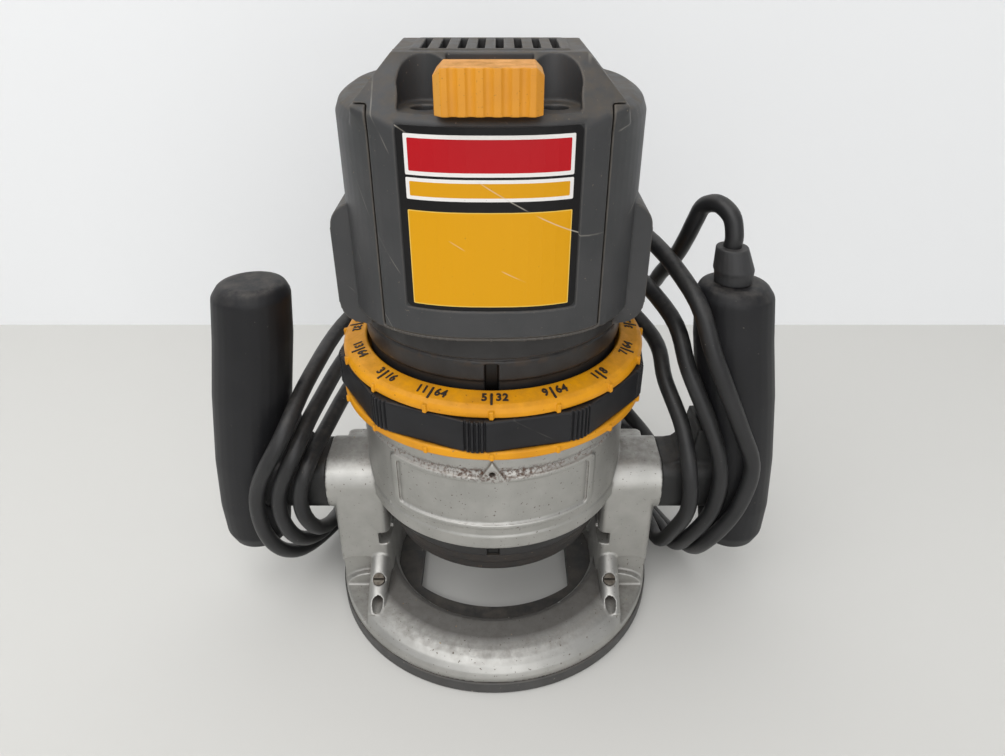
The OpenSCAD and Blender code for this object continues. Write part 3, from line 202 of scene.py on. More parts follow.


# Lightens sharp edges: wear, and on the casting and housing also a painted highlight.
def worn_edges(material, code, amount=0.6, low=0.52, high=0.6):
    tree = material.node_tree
    shape = add(tree, "ShaderNodeNewGeometry")
    rim = add(tree, "ShaderNodeMapRange",
              {"Value": shape.outputs["Pointiness"], "From Min": low, "From Max": high})
    return lay_over(material, code, rim.outputs[0], amount)


# Darkens what ambient occlusion finds hollow: grime, and painted shade in the hollows as well.
def grimy_hollows(material, code, amount=0.7, reach=5.0):
    tree = material.node_tree
    open_sky = add(tree, "ShaderNodeAmbientOcclusion", {"Distance": reach * MM}, samples=6)
    where = add(tree, "ShaderNodeTexCoord")
    broken = add(tree, "ShaderNodeTexNoise",
                 {"Vector": where.outputs["Object"], "Scale": 260.0, "Detail": 5.0})
    hollow = add(tree, "ShaderNodeMapRange",
                 {"Value": open_sky.outputs["AO"], "From Min": 0.85, "From Max": 0.25})
    mix = add(tree, "ShaderNodeMapRange",
              {"Value": broken.outputs["Fac"], "From Min": 0.3, "From Max": 0.65, "To Min": 0.35})
    both = add(tree, "ShaderNodeMath", {0: hollow.outputs[0], 1: mix.outputs[0]}, operation="MULTIPLY")
    return lay_over(material, code, both.outputs[0], amount, 0.85)


def dusty_tops(material, code, amount=0.4, steep=0.45, patch=9):
    tree = material.node_tree
    where = add(tree, "ShaderNodeTexCoord")
    facing = add(tree, "ShaderNodeSeparateXYZ", {0: where.outputs["Normal"]})
    up = add(tree, "ShaderNodeMapRange", {"Value": facing.outputs[2], "From Min": steep, "From Max": 0.95})
    cloud = add(tree, "ShaderNodeTexNoise",
                {"Vector": where.outputs["Object"], "Scale": 1000 / patch, "Detail": 8.0, "Roughness": 0.65})
    thin = add(tree, "ShaderNodeMapRange",
               {"Value": cloud.outputs["Fac"], "From Min": 0.38, "From Max": 0.68})
    both = add(tree, "ShaderNodeMath", {0: up.outputs[0], 1: thin.outputs[0]}, operation="MULTIPLY")
    return lay_over(material, code, both.outputs[0], amount, 0.9)


# %% [markdown]
# ## Specks and fine scratches
#
# Close up, old tools carry two more marks. Specks are small spots of dirt that stuck: the peaks of a fine
# noise. Scratches are hairlines: the crests of a bent wave, cut into short pieces by another noise.

# %% Specks and scratches
def specks(material, code, amount=0.8, size=1.1, share=0.3):
    tree = material.node_tree
    where = add(tree, "ShaderNodeTexCoord")
    dots = add(tree, "ShaderNodeTexNoise",
               {"Vector": where.outputs["Object"], "Scale": 1000 / size, "Detail": 2.0})
    rarest, step, fade = 0.78, 0.3, 0.04
    high = rarest - share * step
    peak = add(tree, "ShaderNodeMapRange",
               {"Value": dots.outputs["Fac"], "From Min": high, "From Max": high + fade})
    return lay_over(material, code, peak.outputs[0], amount, 0.8)


def scratches(material, code, amount=0.5, spacing=16.0, turn=(0.5, 0.4, 0.9)):
    # a wave of scale 1 repeats every 314 mm
    unit_wave = 314
    tree = material.node_tree
    where = add(tree, "ShaderNodeTexCoord")
    turned = add(tree, "ShaderNodeMapping", {"Vector": where.outputs["Object"], "Rotation": turn})
    crests = add(tree, "ShaderNodeTexWave",
                 {"Vector": turned.outputs[0], "Scale": unit_wave / spacing, "Distortion": 5.0, "Detail": 2.0,
                  "Detail Scale": 0.4})
    hair = add(tree, "ShaderNodeMapRange",
               {"Value": crests.outputs["Fac"], "From Min": 0.9988, "From Max": 0.9998})
    short = add(tree, "ShaderNodeTexNoise", {"Vector": where.outputs["Object"], "Scale": 45.0, "Detail": 3.0})
    pieces = add(tree, "ShaderNodeMapRange",
                 {"Value": short.outputs["Fac"], "From Min": 0.52, "From Max": 0.6})
    both = add(tree, "ShaderNodeMath", {0: hair.outputs[0], 1: pieces.outputs[0]}, operation="MULTIPLY")
    return lay_over(material, code, both.outputs[0], amount)


# %% [markdown]
# ## The cord's route
#
# A mains lead on such a tool is about three metres of rubber, 7 mm thick. It leaves the right grip upwards,
# arches over, and is wound three times round the whole tool, in front of both grips and behind the motor.
# The turns are set by two lists of stations, the innermost turn and the outermost, and the turns between
# them are mixed from both. A smooth curve through all stations is the route.

# %% Stations of the cord, in millimetres
cord_r = 3.5
lead_in = [[92.4, -7, 176.95], [92.4, -7, 181.5], [90.9, -4.7, 188], [87, 1.2, 191], [83.1, 7.2, 188.2],
           [81.4, 10.2, 181.5], [80, 14.5, 172.5], [78.2, 21.5, 161.5], [75.6, 33, 149], [73.5, 45, 138],
           [62, 64, 130]]
turn_inner = [[38, 78, 126], [0, 83, 119], [-38, 71, 109], [-66, 40, 94], [-77.5, -4, 86], [-81, -23.6, 82],
              [-85.5, -25.8, 68], [-85, -25.4, 55], [-82, -18, 42], [-79.5, 2, 30], [-78, 24, 25],
              [-62, 54, 22], [-26, 80, 24], [26, 80, 24], [62, 54, 21], [79, 20, 16], [83, 0, 17],
              [85.5, -15, 38], [87, -25.4, 60], [85, -25.8, 80], [81.5, -15.5, 98], [75, -1.5, 113],
              [72, 17, 124], [56, 54, 131]]
turn_outer = [[38, 74, 154], [0, 82, 147], [-38, 72, 137], [-70, 44, 121], [-80.5, 2, 114],
              [-88.5, -26.4, 100], [-102.5, -27.6, 74], [-105.5, -25.6, 50], [-102, -19.5, 30],
              [-95.5, -5, 16], [-86, 20, 9], [-72, 60, 4.2], [-30, 92, 4.2], [30, 92, 4.2], [74, 58, 4.2],
              [93, 22, 5], [99, -1, 13], [99.5, -22, 37], [107.5, -27.3, 60], [110.8, -27, 84],
              [102, -27.6, 106], [87, -25.8, 138], [77.5, -13, 161], [60, 33, 171]]
lead_out = [[26, 76, 168], [-10, 94, 156], [-42, 96, 138], [-56, 92, 118], [-50, 88, 100], [-22, 90, 92.5],
            [14, 90, 92.5], [46, 72, 84], [66, 46, 68], [79, 45, 52], [89, 54, 34], [97, 72, 16], [98, 92, 8],
            [88, 110, 8], [72, 117, 8], [58, 116, 8], [50, 116, 8]]
turns = 3
stations = [Vector(p) for p in lead_in]
for turn in range(turns):
    share = turn / (turns - 1)
    stations += [Vector(a).lerp(Vector(b), share) for a, b in zip(turn_inner, turn_outer)]
stations += [Vector(p) for p in lead_out]
print("stations:", len(stations))


# %% A smooth curve through the stations
def smooth_route(points, steps):
    route = []
    for i in range(len(points) - 1):
        before = points[max(i - 1, 0)]
        a, b = points[i], points[i + 1]
        after = points[min(i + 2, len(points) - 1)]
        for k in range(steps):
            t = k / steps
            bend, twist = 2 * before - 5 * a + 4 * b - after, 3 * a - before - 3 * b + after
            route.append(0.5 * (2 * a + (b - before) * t + bend * t**2 + twist * t**3))
    return route + [points[-1]]


route = [p * MM for p in smooth_route(stations, 6)]

# %% [markdown]
# ## The cord itself
#
# A curve with a round bevel is the right tool for a cord: the route stays editable and the thickness is
# exact. The rubber jacket is matt, rubs a little grey, and carries specks of dust and sawdust.

# %% Make the cord
jacket = finish("rubber_cord_jacket", "#1e1e1f", "#272728", 0.42, patch=22, grain=0.35, deep=0.006, edge=0.1,
                gloss=0.4)
dusty_tops(jacket, "#6f6a63", 0.25, 0.3, 5)
specks(jacket, "#8a8378", 0.5, 1.4, 0.15)
line = bpy.data.curves.new("cord_line", "CURVE")
line.dimensions = "3D"
line.bevel_depth = cord_r * MM
line.bevel_resolution = 5
line.use_fill_caps = True
spline = line.splines.new("POLY")
spline.points.add(len(route) - 1)
for point, spot in zip(spline.points, route):
    point.co = (*spot, 1)
spline.use_smooth = True
line.materials.append(jacket)
cord = place("cord", line)
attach(cord, "base")
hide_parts("power_cord")

# %% [markdown]
# ## Taking a solid over with soft edges
#
# A CAD solid has perfectly sharp edges, and no cast or moulded part has. To round all of them at once, we
# merge a copy of the solid, cover it with an even skin of small faces (a voxel remesh), and smooth that skin
# a few times. The skin's grain size decides how much detail stays.

# %% Soften a copy of a solid
def softened(node, piece, grain, rounds, most=180000):
    solid = frame["nodes"][node]
    shell = bmesh.new()
    shell.from_mesh(solid.data)
    bmesh.ops.remove_doubles(shell, verts=shell.verts, dist=1e-6)
    rough_mesh = bpy.data.meshes.new(piece)
    shell.to_mesh(rough_mesh)
    shell.free()
    made = place(piece, rough_mesh)
    skin = made.modifiers.new("even_skin", "REMESH")
    skin.mode = "VOXEL"
    skin.voxel_size = grain * MM
    calm = made.modifiers.new("calm", "SMOOTH")
    calm.factor = 0.5
    calm.iterations = rounds
    faces = settle(made)
    if faces * 2 > most:
        fewer = made.modifiers.new("fewer", "DECIMATE")
        fewer.ratio = most / (faces * 2)
        faces = settle(made)
    made.data.shade_smooth()
    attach(made, body_of(solid)[0])
    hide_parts(node)
    print(piece, "faces:", faces)
    return made


def settle(made):
    ready = bpy.data.meshes.new_from_object(made.evaluated_get(bpy.context.evaluated_depsgraph_get()))
    made.modifiers.clear()
    made.data = ready
    return len(ready.polygons)


def wear(made, material):
    made.data.materials.clear()
    made.data.materials.append(material)


def dress(material, *nodes):
    for node in nodes:
        solid = frame["nodes"][node]
        for slot in solid.material_slots:
            slot.material = material


# %% [markdown]
# ## The cord's sleeve and plug
#
# Where a lead leaves a housing, a tapered rubber sleeve keeps it from kinking, and its end goes into a
# moulded plug. Both are one rubber moulding on the real object, so they share the jacket's look.

# %% Sleeve, plug and the cord's facts
moulded_rubber = finish("moulded_rubber", "#2a2a2b", "#303031", 0.55, patch=10, grain=0.4, deep=0.01)
dusty_tops(moulded_rubber, "#6f6a63", 0.3, 0.3, 4)
sleeve = softened("strain_relief", "sleeve", 0.4, 3)
wear(sleeve, moulded_rubber)
plug = softened("plug_body", "plug", 0.45, 3)
wear(plug, moulded_rubber)

# %% [markdown]
# ## Stains and painted shade that keep to one place
#
# Rust creeps along a groove, at one height and thickest in front. A dark ring lies on the foot, where the
# tool hangs over it: partly grime, partly painted shade. The first mask is a height band broken by a fine
# noise, and the second is a ring round
# the axis, up to a height. Both fade out instead of ending in a line.

# %% Rust at one height, grime and painted shade round the axis
def rust_zone(material, code, low, high, amount, patch, wide=500, bare=0.5):
    tree = material.node_tree
    where = add(tree, "ShaderNodeTexCoord")
    axes = add(tree, "ShaderNodeSeparateXYZ", {0: where.outputs["Object"]})
    middle, half = (low + high) / 2 * MM, (high - low) / 2 * MM
    off = add(tree, "ShaderNodeMath", {0: axes.outputs[2], 1: middle}, operation="SUBTRACT")
    far = add(tree, "ShaderNodeMath", {0: off.outputs[0]}, operation="ABSOLUTE")
    full, fade = 0.4, 0.12
    near = add(tree, "ShaderNodeMapRange",
               {"Value": far.outputs[0], "From Min": half, "From Max": half * full})
    cloud = add(tree, "ShaderNodeTexNoise",
                {"Vector": where.outputs["Object"], "Scale": 1000 / patch, "Detail": 7.0})
    thin = add(tree, "ShaderNodeMapRange",
               {"Value": cloud.outputs["Fac"], "From Min": bare, "From Max": bare + fade})
    side = add(tree, "ShaderNodeMath", {0: axes.outputs[0]}, operation="ABSOLUTE")
    ahead = add(tree, "ShaderNodeMapRange",
                {"Value": side.outputs[0], "From Min": wide * MM, "From Max": wide * full * MM})
    patchy = add(tree, "ShaderNodeMath", {0: near.outputs[0], 1: thin.outputs[0]}, operation="MULTIPLY")
    both = add(tree, "ShaderNodeMath", {0: patchy.outputs[0], 1: ahead.outputs[0]}, operation="MULTIPLY")
    return lay_over(material, code, both.outputs[0], amount, 0.9)


# A dark ring round the axis, low on the foot under the tool: grime and painted shade.
def grime_ring(material, code, inner, outer, top, amount):
    tree = material.node_tree
    where = add(tree, "ShaderNodeTexCoord")
    axes = add(tree, "ShaderNodeSeparateXYZ", {0: where.outputs["Object"]})
    flat = add(tree, "ShaderNodeCombineXYZ", {0: axes.outputs[0], 1: axes.outputs[1]})
    reach = add(tree, "ShaderNodeVectorMath", {0: flat.outputs[0]}, operation="LENGTH")
    edge, fade = 0.4, 2
    rim_in = add(tree, "ShaderNodeMapRange",
                 {"Value": reach.outputs["Value"], "From Min": (inner - edge) * MM,
                  "From Max": (inner + edge) * MM})
    rim_out = add(tree, "ShaderNodeMapRange",
                  {"Value": reach.outputs["Value"], "From Min": (outer + fade) * MM,
                   "From Max": (outer - fade) * MM})
    low = add(tree, "ShaderNodeMath", {0: axes.outputs[2], 1: top * MM}, operation="LESS_THAN")
    band = add(tree, "ShaderNodeMath", {0: rim_in.outputs[0], 1: rim_out.outputs[0]}, operation="MULTIPLY")
    both = add(tree, "ShaderNodeMath", {0: band.outputs[0], 1: low.outputs[0]}, operation="MULTIPLY")
    return lay_over(material, code, both.outputs[0], amount, 0.6)


# %% [markdown]
# ## The casting
#
# The foot, legs and collar are one aluminium die casting, tumbled to a satin finish. It is bare metal, so it
# shows what stands round it: bright where it faces the room, dark where it faces the tool. Its hollows are
# darkened brown, partly by dust and partly as painted shade, and there the surface is no longer metal. A ring
# of painted shade and grime lies on the foot under the tool, and its edges are lightened, partly by wear and
# partly as a painted highlight. The grain is drawn at 0.5 mm so that it shows.

# %% Casting
cast_metal = finish("cast_aluminium", "#b7b6b2", "#adaca8", 0.5, metal=1.0, patch=10, grain=0.5, deep=0.022,
                    edge=0.4, spread=0.05)
dusty_tops(cast_metal, "#5b5148", 0.4, 0.72, 4)
# Hollows darkened brown: partly dust, partly painted shade.
grimy_hollows(cast_metal, "#43362a", 0.85, 6)
grimy_hollows(cast_metal, "#4a4038", 0.9, 1.6)
specks(cast_metal, "#4d3d2e", 0.8, 1.2, 0.32)
rust_zone(cast_metal, "#5a3825", 104, 108.4, 0.6, 1.4)
rust_zone(cast_metal, "#4c2e1a", 102.2, 109, 0.8, 1.1, wide=30, bare=0.47)
# Dark ring on the foot under the tool: partly grime, partly painted shade.
grime_ring(cast_metal, "#3a3632", 50.2, 62.5, 19.5, 0.8)
# Edges lightened: partly wear, partly painted highlight.
worn_edges(cast_metal, "#dad9d4", 0.7, 0.515, 0.58)
casting = softened("base_casting", "casting", 0.5, 1)
wear(casting, cast_metal)

# %% [markdown]
# ## The plate under the foot
#
# A dark phenolic plate slides on the work. It is flat and hard, with a matt face and pale specks of dust. The
# screws are zinc plated and still bright, apart from the two in the ramps, which have tarnished dark.

# %% Plate, screws and pins
phenolic = finish("phenolic_plate", "#434241", "#3a3938", 0.5, patch=12, grain=0.5, deep=0.01)
dusty_tops(phenolic, "#6d665e", 0.6, 0.5, 8)
specks(phenolic, "#b3aca1", 0.7, 1.6, 0.2)
dress(phenolic, "sub_base")
zinc_steel = finish("zinc_plated_steel", "#b9b6ac", "#8f8b82", 0.32, metal=1.0, patch=3, grain=0.3, deep=0.01,
                    edge=0.2)
# Hollows round the screws darkened: grime and painted shade.
grimy_hollows(zinc_steel, "#4d4236", 0.8, 2)
dress(zinc_steel, "sub_base_screws", "guide_pin", "clamp_bolt", "clamp_washer", "handle_bolts",
      "bracket_screws", "retainer_screws")
tarnished_steel = finish("tarnished_steel", "#5d5850", "#48413a", 0.45, metal=0.8, patch=2, grain=0.3,
                         deep=0.02, edge=0.2)
# Hollows of the tarnished screws darkened: grime and painted shade.
grimy_hollows(tarnished_steel, "#1f1a15", 0.9, 2)
dress(tarnished_steel, "guide_rod_screws")

# %% [markdown]
# ## Depth ring
#
# The yellow ring is moulded nylon with a scale on its sloping top. Nylon is slightly waxy, so its highlight
# is broad. Brown dust, deepened by painted shade in the hollows, sits round the scale.

# %% Ring
yellow_nylon = finish("yellow_nylon", "#df9806", "#d08b05", 0.45, patch=16, grain=0.5, deep=0.01, edge=0.3,
                      gloss=0.35)
# Hollows round the scale darkened brown: dust and painted shade.
grimy_hollows(yellow_nylon, "#3a230c", 0.95, 2.5)
dusty_tops(yellow_nylon, "#8a6020", 0.35, 0.3, 5)
specks(yellow_nylon, "#5e3c12", 0.7, 1.2, 0.2)
ring = softened("depth_ring", "ring", 0.32, 1)
wear(ring, yellow_nylon)
ring_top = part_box("depth_ring")[1][2]

# %% [markdown]
# ## A rule for what repeats round an axis
#
# The scale has sixteen ticks, evenly spaced, each the same small raised bar. Modelling one and repeating it
# by a rule keeps the spacing exact: Geometry Nodes put a block on every point of a circle, turn it to face
# outwards and tilt it to the slope. The rule's sizes are named inputs.

# %% Build the rule
def new_tree(name, inputs):
    tree = bpy.data.node_groups.new(name, "GeometryNodeTree")
    tree.is_modifier = True
    tree.interface.new_socket("Geometry", in_out="INPUT", socket_type="NodeSocketGeometry")
    for label, kind in inputs.items():
        tree.interface.new_socket(label, in_out="INPUT", socket_type="NodeSocket" + kind)
    tree.interface.new_socket("Geometry", in_out="OUTPUT", socket_type="NodeSocketGeometry")
    return tree, add(tree, "NodeGroupInput").outputs


def close_tree(tree, geometry, material):
    solid = add(tree, "GeometryNodeRealizeInstances", {"Geometry": geometry})
    dressed = add(tree, "GeometryNodeSetMaterial", {"Geometry": solid.outputs[0], "Material": material})
    add(tree, "NodeGroupOutput", {0: dressed.outputs[0]})


blocks, size = new_tree("blocks_round_an_axis",
                        {"Count": "Int", "Radius": "Float", "Height": "Float", "Size": "Vector",
                         "Tilt": "Float", "Finish": "Material"})
circle = add(blocks, "GeometryNodeMeshCircle", {"Vertices": size["Count"], "Radius": size["Radius"]})
block = add(blocks, "GeometryNodeMeshCube", {"Size": size["Size"]})
number = add(blocks, "GeometryNodeInputIndex")
one_step = add(blocks, "ShaderNodeMath", {0: 2 * math.pi, 1: size["Count"]}, operation="DIVIDE")
angle = add(blocks, "ShaderNodeMath", {0: number.outputs[0], 1: one_step.outputs[0]}, operation="MULTIPLY")
facing = add(blocks, "ShaderNodeCombineXYZ", {"Y": size["Tilt"], "Z": angle.outputs[0]})
copies = add(blocks, "GeometryNodeInstanceOnPoints",
             {"Points": circle.outputs[0], "Instance": block.outputs[0], "Rotation": facing.outputs[0]})
lift = add(blocks, "ShaderNodeCombineXYZ", {"Z": size["Height"]})
raised = add(blocks, "GeometryNodeTransform", {"Geometry": copies.outputs[0], "Translation": lift.outputs[0]})
close_tree(blocks, raised.outputs[0], size["Finish"])
print("inputs of the rule:", [item.name for item in blocks.interface.items_tree if item.in_out == "INPUT"])


# %% Grow a piece from a rule
def grown(name, tree, values, start=None, rounding=0.0):
    made = place(name, start or bpy.data.meshes.new(name))
    rule = made.modifiers.new("rule", "NODES")
    rule.node_group = tree
    for item in tree.interface.items_tree:
        if item.in_out == "INPUT" and item.name in values:
            rule[item.identifier] = values[item.name]
    if rounding:
        edge = made.modifiers.new("soft_edge", "BEVEL")
        edge.width = rounding * MM
        edge.segments = 2
    print(name, "faces:", settle(made))
    return made


# %% Ticks of the scale
marks, front_mark = 16, 10
scale_drop, scale_width, scale_r, tick_drop = 1.4, 6.5, 57.3, 1.02
slope = math.atan(scale_drop / scale_width)
scale_ink = finish("scale_ink", "#1d1712", "#2c2219", 0.6, patch=3, grain=0.4, deep=0.01, edge=0.1)
ticks = grown("scale_ticks", blocks,
              {"Count": marks, "Radius": scale_r * MM, "Height": ring_top - tick_drop * MM,
               "Size": (5.6 * MM, 0.8 * MM, 0.8 * MM), "Tilt": slope, "Finish": scale_ink}, rounding=0.12)
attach(ticks, "ring")

# %% [markdown]
# ## Numbers of the scale
#
# One turn of the ring moves the motor by a quarter of an inch, so a sixteenth of a turn is 1/64 inch. Each
# tick stands between the upper and the lower number of its fraction. The numbers are short text objects, made
# into meshes, laid on the slope and joined.

# %% Numbers
number_size, number_r, number_drop = 5.0, 56.6, 0.62
half_gap, narrow = 1.5, 0.86
digits = bmesh.new()
for mark in range(marks):
    share = Fraction((front_mark - mark) % marks, 64)
    words = [str(share.numerator), str(share.denominator)] if share else ["0"]
    for word, side in zip(words, (-1, 1)):
        letters = bpy.data.curves.new("number", "FONT")
        letters.body = word
        letters.size = number_size * MM
        letters.extrude = 0.12 * MM
        letters.offset = 0.13 * MM
        letters.resolution_u = 4
        letters.space_character = 1.1
        letters.align_x = "RIGHT" if side < 0 else "LEFT"
        letters.align_y = "CENTER"
        shape = place("number", letters)
        flat = bpy.data.meshes.new_from_object(shape.evaluated_get(bpy.context.evaluated_depsgraph_get()))
        bpy.data.objects.remove(shape)
        lay = Matrix.Translation((side * half_gap * MM, -number_r * MM, ring_top - number_drop * MM))
        lay = lay @ Matrix.Rotation(slope, 4, "X") @ Matrix.Diagonal((narrow, 1, 1, 1))
        flat.transform(Matrix.Rotation(math.radians(360 / marks * mark), 4, "Z") @ lay)
        digits.from_mesh(flat)
        bpy.data.meshes.remove(flat)
bmesh.ops.recalc_face_normals(digits, faces=digits.faces)
digit_mesh = bpy.data.meshes.new("scale_numbers")
digits.to_mesh(digit_mesh)
digits.free()
numbers = place("scale_numbers", digit_mesh)
wear(numbers, scale_ink)
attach(numbers, "ring")
print("number faces:", len(digit_mesh.polygons))

# %% [markdown]
# ## Grip band
#
# A rubber band with ten rounded corners gives the fingers hold. Each corner has five upright grooves. The
# outline is a rule, so we compute it: a radius for every angle, which is the flat of the ten-sided shape, cut
# by the round, less the grooves.

# %% Band outline
band_low, band_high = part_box("ring_grip_band")[0][2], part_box("ring_grip_band")[1][2]
band_in, band_round, band_corner = 59.05, 64.6, 65.1
blend, near_r, groove_depth, groove_half = 0.12, 60, 0.8, 0.42
corners, first_corner, groove_step = 10, math.radians(-95.4), math.radians(1.6)


def band_radius(angle):
    half = math.pi / corners
    part = (angle - first_corner + half) % (2 * half) - half
    flat = band_corner * math.cos(half) / math.cos(half - abs(part))
    soft = math.exp((near_r - flat) / blend) + math.exp((near_r - band_round) / blend)
    radius = near_r - blend * math.log(soft)
    for groove in range(-2, 3):
        off = (part - groove_step * groove) * radius
        radius -= groove_depth * math.exp(-((off / groove_half) ** 4))
    return radius


steps = 2160
height = (band_high - band_low) / MM
levels = [(0, 0.7), (0.25, 0.25), (0.8, 0), (0.5 * height, 0), (height - 0.8, 0), (height - 0.25, 0.25),
          (height, 0.7)]
shell = bmesh.new()
rows = []
for up, inset in levels + [(height, None), (0, None)]:
    row = []
    for k in range(steps):
        turn = 2 * math.pi * k / steps
        reach = (band_in if inset is None else band_radius(turn) - inset) * MM
        row.append(shell.verts.new((reach * math.cos(turn), reach * math.sin(turn), band_low + up * MM)))
    rows.append(row)
for low, high in zip(rows, rows[1:] + rows[:1]):
    for k in range(steps):
        shell.faces.new((low[k], low[(k + 1) % steps], high[(k + 1) % steps], high[k]))
bmesh.ops.recalc_face_normals(shell, faces=shell.faces)
band_mesh = bpy.data.meshes.new("band")
shell.to_mesh(band_mesh)
shell.free()
band = place("band", band_mesh)
print("band faces:", len(band.data.polygons))

# %% Rubber for the band
band_rubber = finish("band_rubber", "#18181b", "#131316", 0.48, patch=12, grain=0.4, deep=0.01, gloss=0.35)
dusty_tops(band_rubber, "#5d4f3d", 0.4, 0.5, 4)
# Grooves of the band darkened: grime and painted shade.
grimy_hollows(band_rubber, "#0c0b0b", 0.8, 1.2)
specks(band_rubber, "#6b6257", 0.5, 1.0, 0.12)
scratches(band_rubber, "#4c4945", 0.5, 14.0)
wear(band, band_rubber)
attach(band, "ring")
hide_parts("ring_grip_band")

# %% [markdown]
# ## Motor housing and cover
#
# Housing and cover are moulded black plastic with a spark-eroded texture, which scatters light and turns
# black into charcoal. The seam between them is a hairline, so their copies keep a fine skin.

# %% Housing and cover
housing_plastic = finish("textured_black_plastic", "#383839", "#313233", 0.52, patch=18, grain=0.55,
                         deep=0.03, edge=0.4)
dusty_tops(housing_plastic, "#62543f", 0.5, 0.25, 6)
# Hollows of the housing darkened: grime and painted shade.
grimy_hollows(housing_plastic, "#3b332b", 0.45, 4)
specks(housing_plastic, "#857a69", 0.6, 1.0, 0.2)
scratches(housing_plastic, "#8b877f", 0.45, 19.0)
# Edges lightened: partly worn brownish, partly painted highlight along the panel's edges.
worn_edges(housing_plastic, "#746b5f", 0.5, 0.515, 0.58)
housing = softened("motor_housing", "housing", 0.5, 1)
wear(housing, housing_plastic)
cover = softened("top_cover", "cover", 0.45, 1)
wear(cover, housing_plastic)

# %% [markdown]
# ## A field of colour
#
# The label's coloured fields and the painted shade in the can's key slot are both rounded rectangles on the
# front.
# A point lies inside when it is no farther than the corner's radius from a smaller rectangle. That is a few
# math nodes on the object's own coordinates, and needs no picture.

# %% Colour inside a rounded rectangle
def field(material, code, x0, x1, z0, z1, corner=0.4):
    tree = material.node_tree
    where = add(tree, "ShaderNodeTexCoord")
    axes = add(tree, "ShaderNodeSeparateXYZ", {0: where.outputs["Object"]})
    past = []
    for axis, low, high in ((0, x0, x1), (2, z0, z1)):
        off = add(tree, "ShaderNodeMath", {0: axes.outputs[axis], 1: (low + high) / 2 * MM},
                  operation="SUBTRACT")
        far = add(tree, "ShaderNodeMath", {0: off.outputs[0]}, operation="ABSOLUTE")
        over = add(tree, "ShaderNodeMath", {0: far.outputs[0], 1: ((high - low) / 2 - corner) * MM},
                   operation="SUBTRACT")
        past.append(add(tree, "ShaderNodeMath", {0: over.outputs[0], 1: 0.0}, operation="MAXIMUM"))
    corner_way = add(tree, "ShaderNodeCombineXYZ", {0: past[0].outputs[0], 1: past[1].outputs[0]})
    reach = add(tree, "ShaderNodeVectorMath", {0: corner_way.outputs[0]}, operation="LENGTH")
    inside = add(tree, "ShaderNodeMath", {0: reach.outputs["Value"], 1: corner * MM}, operation="LESS_THAN")
    front = add(tree, "ShaderNodeMath", {0: axes.outputs[1], 1: 0.0}, operation="LESS_THAN")
    both = add(tree, "ShaderNodeMath", {0: inside.outputs[0], 1: front.outputs[0]}, operation="MULTIPLY")
    return lay_over(material, code, both.outputs[0])


# %% [markdown]
# ## Metal can
#
# Under the housing the motor's steel can slides in the casting. It is painted dark and polished by sliding,
# with a trace of rust where the paint is gone.

# %% Can and bracket
painted_can = finish("painted_steel_can", "#2b2a2a", "#242323", 0.38, metal=0.2, patch=8, grain=0.6,
                     deep=0.01)
dusty_tops(painted_can, "#5b5146", 0.5, 0.3, 6)
rust_zone(painted_can, "#4a3a2c", 149, 154, 0.4, 4)
# The key slot is painted near black: painted shade standing in for the dark void of the slot.
field(painted_can, "#060505", -2.45, 2.45, 50, 150.5, 0.3)
can = softened("motor_can", "can", 0.4, 1)
wear(can, painted_can)
sooty_metal = finish("sooty_black_metal", "#262423", "#302a26", 0.55, metal=0.2, patch=6, grain=0.7,
                     deep=0.02)
dusty_tops(sooty_metal, "#5f5344", 0.5, 0.3, 5)
specks(sooty_metal, "#a08a6c", 0.8, 1.5, 0.2)
bracket = softened("end_bracket", "bracket", 0.6, 2)
wear(bracket, sooty_metal)

# %% [markdown]
# ## Handles
#
# Each handle is a hard bridge with a soft grip moulded over it. The grip is a matt elastomer: broad, weak
# highlight, fine grain, a little dust on top.

# %% Bridges and grips
bridge_nylon = finish("black_nylon", "#1e1e1e", "#252525", 0.5, patch=12, grain=0.5, deep=0.012, gloss=0.4)
dusty_tops(bridge_nylon, "#5f5850", 0.35, 0.4, 6)
soft_rubber = finish("soft_grip_rubber", "#19191b", "#1f1f21", 0.5, patch=26, grain=0.5, deep=0.015,
                     gloss=0.3)
dusty_tops(soft_rubber, "#77716a", 0.35, 0.35, 5)
specks(soft_rubber, "#7d776e", 0.5, 1.2, 0.12)
for side in ("left", "right"):
    bridge = softened(side + "_handle_frame", side + "_bridge", 0.7, 2)
    wear(bridge, bridge_nylon)
    grip = softened(side + "_soft_grip", side + "_grip", 0.8, 5)
    wear(grip, soft_rubber)

# %% [markdown]
# ## Switch knob
#
# The yellow knob slides sideways to start the motor. Five soft waves give the thumb hold. Fingers have rubbed
# it dull, and brown dirt has settled on its top.

# %% Knob
knob_plastic = finish("yellow_knob_plastic", "#d68f14", "#cb8616", 0.45, patch=12, grain=0.6, deep=0.01,
                      edge=0.35)
dusty_tops(knob_plastic, "#7d5a24", 0.55, 0.3, 5)
specks(knob_plastic, "#7a5520", 0.6, 0.7, 0.3)
worn_edges(knob_plastic, "#cf9c45", 0.4)
knob = softened("switch_knob", "knob", 0.25, 2)
wear(knob, knob_plastic)

# %% [markdown]
# ## Label
#
# The label is a printed, slightly glossy plastic foil. It is left without words: a framed red field, a framed
# yellow field and a large yellow panel. Each field is a rounded rectangle worked out from the object's
# coordinates, so no picture is needed.

